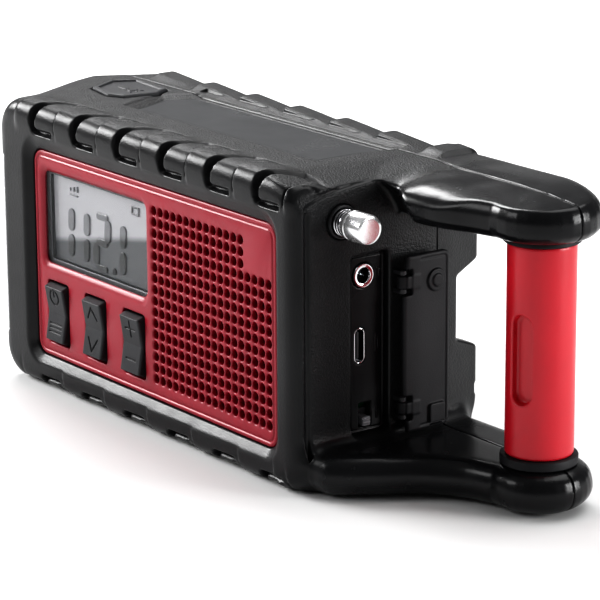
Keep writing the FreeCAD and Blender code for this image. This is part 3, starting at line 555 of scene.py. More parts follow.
def lathe(name, profile, axis, centre, body, slot, replaced=(), count=64, sharp=35, look=None):
    """Turned piece: (radius, height) points round one axis of the frame through a centre."""
    first, second = [(1, 2), (2, 0), (0, 1)][axis]
    if axis == 1:
        centre = centre[::-1]
    points, faces, rings = [], [], []
    for radius, height in profile:
        ring = []
        steps = count if radius > 1e-6 else 1
        for i in range(steps):
            angle = 2 * math.pi * i / count
            point = [0, 0, 0]
            point[axis] = height
            point[first] = centre[0] + radius * math.cos(angle)
            point[second] = centre[1] + radius * math.sin(angle)
            ring.append(len(points))
            points.append(point)
        rings.append(ring)
    for a, b in zip(rings, rings[1:] + ([] if profile[0][0] <= 1e-6 else rings[:1])):
        if len(a) == 1 and len(b) == 1:
            continue
        for i in range(count):
            j = (i + 1) % count
            if len(a) == 1:
                faces.append((a[0], b[i], b[j]))
            elif len(b) == 1:
                faces.append((a[i], b[0], a[j]))
            else:
                faces.append((a[i], b[i], b[j], a[j]))
    mesh = bpy.data.meshes.new(name)
    mesh.from_pydata(((np.array(points) + ZERO) * MM).tolist(), [], faces)
    shell = bmesh.new()
    shell.from_mesh(mesh)
    bmesh.ops.recalc_face_normals(shell, faces=shell.faces)
    shell.to_mesh(mesh)
    shell.free()
    mesh.shade_smooth()
    mesh.set_sharp_from_angle(angle=math.radians(sharp))
    ob = bpy.data.objects.new(name, mesh)
    return finish_piece(ob, body, LOOKS[look or slot], replaced)


ROCKER_X, ROCKER_PITCH, ROCKER_W = 6.2, 18.05, 8.9
ROCKER_Z = (4.6, 20.7)
ROCKER_MID = sum(ROCKER_Z) / 2
HOLE_X, HOLE_Z, HOLE_DX, HOLE_DZ = 56.6, 49.6, 2.87, 2.93
JACK, USB = (19.7, 42.4), (18.8, 25)
COVER_HINGE, KNOB_X = (120.9, 28.6), 60
DOOR_PIN, DOOR_SCREW = (57.5, 3.5), (21, 51.7)
MOST, SOME = 195000, 120000  # triangles
THROUGH = -9


def red_panel():
    """Front panel: speaker holes, display opening and three rocker holes."""
    def holes(X, Z):
        u = np.round((X - HOLE_X) / HOLE_DX)
        v = np.round((HOLE_Z - Z) / HOLE_DZ)
        real = (u >= 0) & (u <= 17) & (v >= 0) & (v <= 15) & ((u <= 13) | (v >= 3))
        return where(real, hypot(X - HOLE_X - u * HOLE_DX, Z - HOLE_Z + v * HOLE_DZ) - 1.15, 3)

    def shape(X, Y, Z):
        edge = rect_sd(X, Z, 0.15, 108.75, 0.15, 56.05, 3.85)
        d = smax(edge, slab(Y, 0, 2), 0.7)
        d = smax(d, -holes(X, Z), 0.55)
        line = maximum(np.abs(edge + 1.4) - 0.26, slab(Y, -1, 0.3))
        d = smax(d, -line, 0.1)
        lip = (rect_sd(X, Z, 2.8, 53.6, 24.4, 52.1, 3.4) + 1.55 * maximum(Y, -0.3)) * 0.54
        d = smax(d, -lip, 0.5)
        seat = maximum(rect_sd(X, Z, 3.5, 52.6, 25, 51.2, 2.4), 1.15 - Y)
        d = smax(d, -seat, 0.05)
        for index in range(3):
            left = ROCKER_X + ROCKER_PITCH * index
            hole = rect_sd(X, Z, left - 0.55, left + ROCKER_W + 0.55, ROCKER_Z[0] - 0.55,
                           ROCKER_Z[1] + 0.55, 0.9)
            d = smax(d, -hole, 0.35)
        return d

    carve("red_panel", (0, 0, 0), (PANEL_W, 2, PANEL_H), 0.24, shape, "housing", "panel_red",
          ("face_panel",), most=MOST)


def rocker(name, index, icon, body, node):
    left = ROCKER_X + ROCKER_PITCH * index
    right = left + ROCKER_W
    centre = (left + right) / 2
    low, high = ROCKER_Z
    profile = ((4.2, low + 0.6), (0.2, low), (-1.7, low + 0.8), (-0.5, ROCKER_MID),
               (-1.7, high - 0.8), (0.2, high), (4.2, high - 0.6))

    def front(Z):
        return -0.5 - 1.2 * np.abs(Z - ROCKER_MID) / (ROCKER_MID - low - 0.8)

    def shape(X, Y, Z):
        d = smax(outline_sd(profile, Y, Z), slab(X, left, right), 0.75)
        mark = smax(icon(X - centre, Z), Y - front(Z) - 0.28, 0)
        d = smax(d, -mark, 0.08)
        flange = maximum(maximum(slab(X, left - 1.1, right + 1.1), slab(Y, 3.1, 4.2)),
                         slab(Z, low - 0.9, high + 0.9))
        return minimum(d, flange)

    ob = carve(name, (left - 1.1, -1.8, low - 0.9), (right + 1.1, 4.2, high + 0.9), 0.125, shape, body,
               "key_dark", (node,))

    def floor_of_mark(X, Y, Z):
        return (icon(X - centre, Z) < 0.04) & (Y < front(Z) + 0.5) & (Y > front(Z) + 0.1)

    paint(ob, LOOKS["icon_black"], floor_of_mark)


def power_icon(u, v):
    ring = np.abs(hypot(u, v - 17.3) - 1.95) - 0.24
    gap = maximum(np.abs(u) - 0.75, 17.5 - v)
    sign = minimum(maximum(ring, -gap), bar(u, v, (0, 17.6), (0, 19.5), 0.24))
    for z in (9.9, 8.8, 7.7):
        sign = minimum(sign, bar(u, v, (-2.7, z), (2.7, z), 0.2))
    return sign


def arrow_icon(u, v):
    sign = 9
    for tip, foot in ((18.5, 15.4), (6.7, 10)):
        for side in (-1, 1):
            sign = minimum(sign, bar(u, v, (0, tip), (2.1 * side, foot), 0.24))
    return sign


def sign_icon(u, v):
    plus = minimum(bar(u, v, (-2.1, 16.9), (2.1, 16.9), 0.24), bar(u, v, (0, 14.8), (0, 19), 0.24))
    return minimum(plus, bar(u, v, (-2.1, 8.8), (2.1, 8.8), 0.24))


def display():
    """Segment display: its glass in a pale frame, and the segments on it."""
    # The glass's lighter upper part and darker lower part are a painted reflection, carried by its
    # material.
    carve("lcd_face", (5, 3, 26.4), (51, 5.2, 49.8), 0.3,
          lambda X, Y, Z: smax(rect_sd(X, Z, 5, 51, 26.4, 49.8, 0.5), slab(Y, 3, 5.2), 0.25),
          "housing", "lcd_grey", ("lcd_glass",))

    def tray(X, Y, Z):
        d = maximum(rect_sd(X, Z, 2.6, 53.5, 24.1, 52.1, 1), slab(Y, 2.05, 5.4))
        for spare, floor in ((1.3, 2.45), (1.9, 3.05), (2.5, THROUGH)):
            hole = rect_sd(X, Z, 2.6 + spare, 53.5 - spare, 24.1 + spare, 52.1 - spare, 0.6)
            d = smax(d, -maximum(hole, floor - Y), 0.1)
        return d

    carve("display_tray", (2.6, 2.05, 24.1), (53.5, 5.4, 52.1), 0.2, tray, "housing", "key_dark",
          look="tray_grey")
    low, high = (30, 33.2), (37, 40.2)
    bars = [((x, z0), (x, z1)) for x in (13.6, 21, 38.2) for z0, z1 in (low, high)]
    bars += [((x, z0), (x, z1)) for x, (z0, z1) in ((25.6, low), (31, high))]
    bars += [((26.5, z), (30.2, z)) for z in (35.1, 42.1, 28.2)]
    bars += [((34.2, 28.6), (34.3, 28.6))]
    bars += [((42.2, z), (45.2, z)) for z in (45.8, 47.6)] + [((x, 45.8), (x, 47.6)) for x in (42.2, 45.2)]
    bars += [((13, 45.4), (16.4, 45.4))]
    bars += [((x, 46.6), (x, z)) for x, z in ((13, 47), (14.7, 47.4), (16.4, 47.8))]

    def marks(X, Y, Z):
        lean = X - (Z - 35) * 0.05
        best = 9
        for start, end in bars:
            wide = 0.25 if start[1] > 43 else 1.45 if start[0] == end[0] else 0.9
            best = minimum(best, bar(lean, Z, start, end, wide))
        return smax(best, slab(Y, 2.6, 3.3), 0)

    carve("lcd_marks", (12, 2.6, 27), (47, 3.3, 48.4), 0.16, marks, "housing", "lcd_grey",
          look="lcd_mark")


def end_pieces():
    """Socket plate, sockets, charge switch and antenna on the right end."""
    y, z = USB

    def usb(Y, Z, spare):
        return rect_sd(Y, Z, y - 1.63 + spare, y + 1.63 - spare, z - 4.47 + spare, z + 4.47 - spare,
                       1.62 - spare)

    def plate(X, Y, Z):
        d = smax(rect_sd(Y, Z, 15.05, 26.35, 3.05, 47.95, 1.35), slab(X, 114.6, 116.8), 0.3)
        flange = maximum(rect_sd(Y, Z, 13.6, 27.8, 1.6, 49.4, 1), slab(X, 114.4, 115.9))
        d = minimum(d, flange)
        rim = np.abs(rect_sd(Y, Z, 15.9, 25.5, 3.9, 47.1, 0.9)) - 0.16
        d = smax(d, -maximum(rim, 116.62 - X), 0.1)
        d = smax(d, -(hypot(Y - JACK[0], Z - JACK[1]) - 3.1), 0.35)
        d = smax(d, -(usb(Y, Z, 0) - 0.05), 0.3)
        d = smax(d, -rect_sd(Y, Z, 18.5, 22.1, 4.4, 10.5, 0.4), 0.3)
        for at, z0, z1 in ((23.7, 41.2, 43.6), (24.6, 41.7, 43.1), (23.6, 23.2, 26.8), (24.3, 23.9, 26.1),
                           (23.9, 6.2, 8.8)):
            d = smin(d, maximum(bar(Y, Z, (at, z0), (at, z1), 0.18), slab(X, 116.5, 116.95)), 0.1)
        return d

    carve("socket_plate", (114.4, 13.6, 1.6), (117, 27.8, 49.4), 0.16, plate, "housing", "key_dark",
          ("port_plate",), look="plate_black")
    ring = [(0, 105), (3, 105), (3.02, 117.05), (2.85, 117.28), (2.5, 117.3), (2.05, 117.2), (1.85, 116.9),
            (1.8, 116.2), (1.77, 108), (0, 108)]
    lathe("jack_ring", ring, 0, JACK, "housing", "chrome", ("headphone_jack",))

    def socket(X, Y, Z):
        shell = smax(usb(Y, Z, 0.02), slab(X, 109, 116.75), 0.15)
        shell = smax(shell, -maximum(usb(Y, Z, 0.32), 110 - X), 0.1)
        tongue = smax(rect_sd(Y, Z, y - 0.36, y + 0.36, z - 3.3, z + 3.3, 0.2), slab(X, 109.5, 116), 0.1)
        return minimum(shell, tongue)

    ob = carve("usb_shell", (109, 17, 20.4), (116.8, 20.6, 29.6), 0.12, socket, "housing", "steel",
               ("usb_c_socket",), look="chrome")
    paint(ob, LOOKS["chip_black"],
          lambda X, Y, Z: (np.abs(Y - y) < 0.5) & (np.abs(Z - z) < 3.5) & (X > 110.2))

    def lever(X, Y, Z):
        foot = smax(rect_sd(Y, Z, 17.7, 22.9, 2.85, 8.25, 0.5), slab(X, 112.95, 113.95), 0.2)
        nub = smax(rect_sd(Y, Z, 19, 21.6, 4.75, 7.15, 0.5), slab(X, 113.2, 117.65), 0.45)
        ribs = maximum(np.abs(((Z - 4.75) % 0.8) - 0.4) - 0.14, 117.45 - X)
        return smin(foot, smax(nub, -ribs, 0.1), 0.3)

    carve("switch_lever", (112.9, 17.6, 2.8), (117.7, 23, 8.3), 0.12, lever, "charge_lever", "key_dark",
          ("charge_switch_lever",), look="nub_grey")

    collar = [(3.42, 114.6), (4.1, 114.6), (4.15, 118.75), (4, 119.05), (3.75, 119.1), (3.5, 118.95),
              (3.42, 118.6)]
    lathe("antenna_collar", collar, 0, ANTENNA, "housing", "hinge_black", ("antenna_bush",))


def antenna():
    """Telescopic stages and the end cap, sized from their CAD nodes."""
    for node, name, body in (("antenna_sleeve", "antenna_sleeve_turned", "housing"),
                             ("antenna_tube_1", "antenna_stage_1", "antenna_a"),
                             ("antenna_tube_2", "antenna_stage_2", "antenna_b"),
                             ("antenna_tube_3", "antenna_stage_3", "antenna_c")):
        low, high = near(node)
        r = (high[1] - low[1]) / 2
        wall = 0.42
        x0, x1 = low[0], high[0]
        rim = [(r, x0 + 0.2)]
        if node == "antenna_sleeve":
            for x in (119.55, 120.5):
                rim += [(r, x), (r - 0.14, x + 0.06), (r - 0.14, x + 0.36), (r, x + 0.42)]
        rim += [(r, x1 - 0.25), (r - 0.06, x1 - 0.08), (r - 0.2, x1), (r - wall + 0.08, x1),
                (r - wall, x1 - 0.1), (r - wall, x0 + 0.2)]
        lathe(name, rim, 0, ANTENNA, body, "chrome", (node,))
    low, high = near("antenna_tip")
    r = (high[1] - low[1]) / 2
    x0, x1 = high[0] - 7.3, high[0]
    profile = [(0, low[0]), (0.9, low[0] + 0.2), (0.9, x0 + 0.05), (r - 0.5, x0), (r - 0.15, x0 + 0.15),
               (r, x0 + 0.5), (r, x0 + 1.3), (r - 0.16, x0 + 1.45), (r - 0.16, x0 + 1.75), (r, x0 + 1.9),
               (r, x1 - 0.75), (r - 0.2, x1 - 0.3), (r - 0.65, x1 - 0.05), (r - 1.1, x1), (0, x1)]
    lathe("antenna_cap", profile, 0, ANTENNA, "antenna_d", "chrome", ("antenna_tip",), sharp=28,
          look="cap_silver")


def socket_cover():
    """Moulded cover with two hinge straps and a pull tab."""
    bowed = ((28.9, 2.5), (27.8, 13), (27.7, 24.3), (27.8, 36), (28.9, 46.8))
    outline = smooth_line(bowed, 4) + [(40.2, 46.8), (41.4, 46.3), (41.9, 45.1), (41.9, 4.2), (41.4, 3),
                                       (40.2, 2.5)]

    def shape(X, Y, Z):
        d = smax(outline_sd(outline, Y, Z), slab(X, 121.25, 122.75), 0.9)
        for z0, z1 in ((6.9, 10.4), (38.4, 42)):
            d = smax(d, -rect_sd(Y, Z, 20, 30.4, z0 - 1.4, z1 + 1.4, 0.6), 0.3)
            strap = smax(slab(X, 121.25, 122.75), slab(Y, COVER_HINGE[1], 32.5), 0.3)
            pin = hypot(X - COVER_HINGE[0], Y - COVER_HINGE[1])
            strap = smax(minimum(strap, pin - 1.45), slab(Z, z0 + 0.2, z1 - 0.2), 0.5)
            strap = smax(strap, 0.56 - pin, 0)
            d = smin(d, strap, 0.6)
        for r, x in ((2.8, 123.35), (1.6, 123.75)):
            d = smin(d, smax(hypot(Y - 37.5, Z - 39.8) - r, slab(X, 122, x), 0.35), 0.25)
        d = smin(d, smax(rect_sd(Y, Z, 35.3, 40.1, 3.4, 8.8, 0.8), slab(X, 122, 123.55), 0.35), 0.25)
        lip = np.abs(outline_sd(outline, Y, Z) + 1.3) - 0.25
        return smax(d, -maximum(lip, maximum(122.55 - X, 32.8 - Y)), 0.15)

    carve("cover_moulded", (119.4, 27, 2.4), (123.8, 42, 46.9), 0.17, shape, "socket_cover", "rubber_black",
          ("port_cover",))


def top_pieces():
    """Solar window and the torch key with its icon."""
    def window(X, Y, Z):
        plan = outline_sd(SOLAR, X, Y) + 0.12
        d = smax(plan, slab(Z, DECK_Z, PANE_Z), 0.7)
        inner = np.abs(plan + 1.1) - 0.12
        return smax(d, -maximum(inner, 67.38 - Z), 0.1)

    carve("solar_pane", (16, 17.9, DECK_Z), (102.1, 38.6, PANE_Z), 0.22, window, "housing", "solar_glass",
          ("solar_window",), most=SOME)

    def icon(X, Y):
        u, v = Y - 29.6, 0.5 - X
        head = outline_sd(((-1.4, -3.6), (1.4, -3.6), (1.4, -2.4), (0.7, -1), (-0.7, -1), (-1.4, -2.4)),
                          u, v)
        handle = maximum(np.abs(u) - 0.7, slab(v, -0.7, 3))
        rays = bar(u, v, (0, -4.4), (0, -5.3), 0.16)
        for side in (-1, 1):
            rays = minimum(rays, bar(u, v, (1.5 * side, -4.3), (2 * side, -5.1), 0.16))
        return minimum(minimum(head, handle), rays)

    low, high = near("torch_key")
    top = high[2]

    def key(X, Y, Z):
        plan = outline_sd(LAMP_KEY, X, Y)
        d = smax(plan, slab(Z, 62, top), 0.9)
        d = smax(d, -smax(plan + 1.6, top - 0.5 - Z, 0.3), 0.35)
        d = smin(d, maximum(icon(X, Y), slab(Z, top - 0.8, top - 0.2)), 0.12)
        return minimum(d, maximum(plan - 0.8, slab(Z, 61.5, 62.6)))

    carve("torch_key_moulded", low, high, 0.17, key, "torch_button", "key_dark", ("torch_key",))


def torch():
    """Ribbed lens on the left end."""
    front = smooth_line([(-14.2, -1.6), (-15.6, -1.1), (-16.4, 0.2), (-16.8, 2)], 4)
    outline = [(-12.6, -1.6)] + front + [(-16.8, 8), (-21.2, 25.8), (-12.6, 25.8)]

    def shape(X, Y, Z):
        plan = outline_sd(outline, X, Y)
        ribs = 0.16 * (0.5 - 0.5 * np.cos((Z - 3.1) * (2 * math.pi / 1.35))) * (X < -12.9)
        return smax(plan + ribs, slab(Z, 3.2, 51.8), 0.8)

    carve("lens_ribbed", (-21.2, -1.6, 3.2), (-12.6, 25.8, 51.8), 0.24, shape, "housing", "lens_clear",
          ("torch_lens",), most=SOME)


def grip():
    """Red sleeve with a finger cup and a seam at the back, and its two collars."""
    x0, y0 = GRIP
    turn = math.radians(14)

    def shape(X, Y, Z):
        u, v = X - x0, Y - y0
        radius = hypot(u, v)
        d = smax(radius - 8.2, slab(Z, 4.3, 55.8), 0.8)
        a = u * math.cos(turn) + v * math.sin(turn)
        b = -u * math.sin(turn) + v * math.cos(turn)
        cup = smax(hypot(a, maximum(np.abs(Z - 28.4) - 8.2, 0)) - 2.6, b + 5.8, 0.7)
        d = smax(d, -cup, 0.7)
        seam = maximum(np.abs(a) - 0.09, 7.95 - radius)
        d = smax(d, -where(b > 0, seam, 9), 0.05)
        return smax(d, 5.05 - radius, 0)

    carve("grip_moulded", (x0 - 8.2, y0 - 8.2, 4.3), (x0 + 8.2, y0 + 8.2, 55.8), 0.26, shape, "housing",
          "grip_red", ("grip_sleeve",), most=150000)
    for name, node, z0, z1 in (("collar_low", "grip_collar_lower", 2, 4.3),
                               ("collar_high", "grip_collar_upper", 55.8, 57)):
        r = 9.3
        lathe(name, [(5.05, z0), (r - 0.3, z0), (r, z0 + 0.3), (r, z1 - 0.35), (r - 0.1, z1 - 0.12),
                     (r - 0.35, z1), (5.05, z1)], 2, GRIP, "housing", "rubber_black", (node,))


def crank():
    """Folding crank: its arm with a slot for the knob, its hub, and the ribbed knob."""
    cx, cz = CRANK
    wide = 6.2

    def arm(X, Y, Z):
        d = smax(smax(np.abs(Z - cz) - wide, slab(X, 57, cx), 2.4), slab(Y, 50.4, 57.4), 0.9)
        slot = smax(np.abs(Z - cz) - 4.1, X - 75.2, 2)
        d = smax(d, -slot, 0.5)
        d = smax(d, 6.52 - hypot(X - cx, Z - cz), 0)
        line = np.abs(smax(np.abs(Z - cz) - wide + 0.9, slab(X, 57.9, 80), 2)) - 0.12
        d = smax(d, -maximum(line, 57.25 - Y), 0.1)
        return smax(d, 1 - hypot(X - KNOB_X, Y - 54), 0)

    carve("arm_moulded", (57, 50.4, cz - wide), (cx, 57.4, cz + wide), 0.2, arm, "crank", "hinge_black",
          ("crank_arm",), most=SOME)
    hub = [(0, 42.6), (3.8, 42.6), (4, 42.8), (4, 49.9), (6.2, 49.9), (6.5, 50.2), (6.5, 57), (6.3, 57.4),
           (5.8, 57.6), (4.6, 57.6), (4.4, 57.35), (1.8, 57.3), (1.6, 57), (0, 57)]
    lathe("hub_turned", hub, 1, CRANK, "crank", "hinge_black", ("crank_hub",))

    def knob(X, Y, Z):
        v = Y - 54
        w = Z - cz
        knuckle = smax(hypot(X - KNOB_X, v) - 3.2, np.abs(w) - 3.6, 0.7)
        radius = hypot(v, w)
        ribs = 0.22 * (0.5 - 0.5 * np.cos(np.arctan2(w, v) * 12))
        handle = smax(radius - 3.3 + ribs * step_up(X, 64.5, 66) * (1 - step_up(X, 72.5, 74)),
                      slab(X, 63.6, 74.7), 0.9)
        neck = maximum(radius - 2.2, slab(X, KNOB_X, 64))
        d = smin(smin(knuckle, neck, 0.8), handle, 0.4)
        return smax(d, 1.07 - hypot(X - KNOB_X, v), 0)

    carve("knob_moulded", (56.8, 50.7, cz - 3.6), (74.7, 57.3, cz + 3.6), 0.17, knob, "knob", "key_dark",
          ("crank_knob",))


def back_pieces():
    """Battery door with its screw, and the case screws."""
    x0, x1, z0, z1 = -0.7, 42.7, 2.5, 56.7

    def door(X, Y, Z):
        d = smax(rect_sd(X, Z, x0, x1, z0, z1, 0.8), slab(Y, 56.5, 58.5), 0.7)
        barrel = smax(hypot(Y - DOOR_PIN[0], Z - DOOR_PIN[1]) - 1, slab(X, x0, x1), 0.3)
        d = smin(d, barrel, 0.3)
        frame_line = np.abs(rect_sd(X, Z, x0 + 2.6, x1 - 2.6, z0 + 3.6, z1 - 9.8, 2.2)) - 0.22
        d = smax(d, -maximum(frame_line, 58.2 - Y), 0.2)
        ribs = maximum(np.abs(((Z - 12) % 2.4) - 1.2) - 0.45, rect_sd(X, Z, 12, 30, 12, 21.6, 0.6))
        d = smin(d, smax(ribs, slab(Y, 58, 58.45), 0.1), 0.15)
        d = smax(d, -(hypot(X - DOOR_SCREW[0], Z - DOOR_SCREW[1]) - 2.55), 0.4)
        return smax(d, 0.66 - hypot(Y - DOOR_PIN[0], Z - DOOR_PIN[1]), 0)

    carve("door_moulded", (x0, 56.4, 2.4), (x1, 58.5, z1), 0.25, door, "door", "case_black",
          ("battery_door",), most=SOME)

    def head(X, Y, Z, cx, cz, r, top, shank):
        reach = hypot(X - cx, Z - cz)
        d = smax(reach - r, slab(Y, top - 1.8, top), 0.5)
        cross = minimum(maximum(np.abs(X - cx) - 0.3, np.abs(Z - cz) - 1.6),
                        maximum(np.abs(Z - cz) - 0.3, np.abs(X - cx) - 1.6))
        d = smax(d, -maximum(cross, top - 0.9 - Y), 0.15)
        return minimum(d, maximum(reach - 1.35, slab(Y, shank, top - 1.5)))

    carve("door_screw", (18.3, 56.5, 49), (23.7, 58.5, 54.4), 0.13,
          lambda X, Y, Z: head(X, Y, Z, *DOOR_SCREW, 2.45, 58.4, 56.6), "door", "steel",
          ("battery_door_screw",))
    for index, (x, z) in enumerate(CASE_SCREWS):
        carve("case_screw_%d" % index, (x - 2.9, 50, z - 2.9), (x + 2.9, 57.8, z + 2.9), 0.15,
              lambda X, Y, Z: head(X, Y, Z, x, z, 2.75, 57.8, 50), "housing", "steel",
              ("case_screws",) if index == 0 else ())


# Materials --------------------


class Look:
    """A procedural material: colour and roughness vary, and a fine grain lies in the normal."""

    def __init__(self, name, color, rough, **values):
        self.material = bpy.data.materials.new(name)
        self.material.use_nodes = True
        self.tree = self.material.node_tree
        self.shader = self.tree.nodes["Principled BSDF"]
        self.shader.inputs["Base Color"].default_value = (*color, 1)
        self.shader.inputs["Roughness"].default_value = rough
        for key, value in values.items():
            self.shader.inputs[key.replace("_", " ")].default_value = value
        self.color, self.rough = color, rough
        self.coords = self.tree.nodes.new("ShaderNodeTexCoord").outputs["Object"]

    def node(self, kind, inputs=(), **settings):
        node = self.tree.nodes.new("ShaderNode" + kind)
        for key, value in settings.items():
            setattr(node, key, value)
        for key, value in dict(inputs).items():
            if isinstance(value, bpy.types.NodeSocket):
                self.tree.links.new(value, node.inputs[key])
            else:
                node.inputs[key].default_value = value
        return node

    def link(self, output, key):
        self.tree.links.new(output, self.shader.inputs[key])

    def noise(self, scale, detail=3):
        return self.node("TexNoise", {"Vector": self.coords, "Scale": scale,
                                      "Detail": detail}).outputs["Fac"]

    def ranged(self, value, low, high, start=0.3, end=0.7):
        return self.node("MapRange", {"Value": value, "From Min": start, "From Max": end, "To Min": low,
                                      "To Max": high}).outputs["Result"]

    def math(self, operation, a, b=0):
        return self.node("Math", {0: a, 1: b}, operation=operation).outputs[0]

    def mixed(self, factor, a, b):
        node = self.node("Mix", data_type="RGBA")
        for index, value in ((0, factor), (6, a), (7, b)):
            if isinstance(value, bpy.types.NodeSocket):
                self.tree.links.new(value, node.inputs[index])
            else:
                node.inputs[index].default_value = value if index == 0 else (*value, 1)
        return node.outputs[2]

    def tint(self, other, scale):
        """Mottles the colour with another one."""
        factor = self.ranged(self.noise(scale, 4), 0, 1)
        self.link(self.mixed(factor, self.color, other), "Base Color")
        return self

    def wear(self, amount, scale=90):
        """Varies the roughness."""
        factor = self.noise(scale, 4)
        self.link(self.ranged(factor, self.rough - amount, self.rough + amount), "Roughness")
        return self

    def bump(self, height, depth, strength=1):
        node = self.node("Bump", {"Height": height, "Distance": depth, "Strength": strength})
        self.link(node.outputs["Normal"], "Normal")
        return self

    def grain(self, scale, depth, detail=2, strength=1):
        return self.bump(self.noise(scale, detail), depth, strength)

    def bump_weave(self, scale, depth):
        """Fine plain weave."""
        parts = self.node("SeparateXYZ", {"Vector": self.coords}).outputs
        waves = [self.math("SINE", self.math("MULTIPLY", parts[axis],
                                             scale * math.pi)) for axis in ("X", "Z")]
        return self.bump(self.math("MULTIPLY", *waves), depth)

    def traces(self, other):
        """Copper tracks under green varnish."""
        cells = self.node("TexVoronoi", {"Vector": self.coords, "Scale": 420}, distance="MANHATTAN").outputs
        lines = self.ranged(cells["Distance"], 0, 1, 0.42, 0.46)
        self.link(self.mixed(lines, self.color, other), "Base Color")
        return self.bump(lines, 0.00003)


def lcd_painted_reflection_look(name, above, below):
    """Display glass with a painted reflection: one colour above a slanting border, a darker one below it,
    standing in for the light and dark parts of what the glass mirrors.
    """
    look = Look(name, above, 0.3)
    parts = look.node("SeparateXYZ", {"Vector": look.coords}).outputs
    x = look.math("MULTIPLY", look.math("SUBTRACT", parts["X"], row((0, 0, 0)).x), -0.196)
    rise = look.math("ADD", look.math("SUBTRACT", parts["Z"], row((0, 0, 30.2)).z), x)
    soft = look.math("ADD", rise, look.math("MULTIPLY", look.math("SUBTRACT", look.noise(90), 0.5), 0.0012))
    # Painted reflection: 0 below the slanting border, 1 above it, the border blurred a little by noise.
    band = look.ranged(soft, 0, 1, -0.0006, 0.0012)
    look.link(look.mixed(band, below, above), "Base Color")
    look.bump(look.noise(400), 0.00001, 0.4)
    return look.material


def facing(look, axis, start, end):
    """How squarely a surface faces along one axis of the frame, from 0 to 1."""
    normal = look.node("TexCoord").outputs["Normal"]
    part = look.node("SeparateXYZ", {"Vector": normal}).outputs[axis]
    return look.ranged(look.math("ABSOLUTE", part), 0, 1, start, end)


def case_look():
    look = Look("case_black", (0.005, 0.0051, 0.0058), 0.36, IOR=1.38)
    look.tint((0.011, 0.0113, 0.0125), 45)
    rough = look.ranged(look.noise(220, 3), 0.21, 0.28)
    place = look.node("SeparateXYZ", {"Vector": look.coords}).outputs["X"]
    case = look.ranged(place, 1, 0, row((119, 0, 0)).x, row((126, 0, 0)).x)
    flats = look.math("MAXIMUM", facing(look, "Z", 0.86, 0.99), facing(look, "X", 0.9, 0.99))
    flats = look.math("MULTIPLY", flats, case)
    base = look.math("ADD", rough, look.math("MULTIPLY", case, 0.09))
    look.link(look.math("ADD", base, look.math("MULTIPLY", flats, 0.12)), "Roughness")
    grain = look.math("ADD", look.math("MULTIPLY", case, 0.12), 0.05)
    strength = look.math("ADD", look.math("MULTIPLY", flats, 0.45), grain)
    look.bump(look.noise(2200, 2), 0.00034, strength)
    return look.material


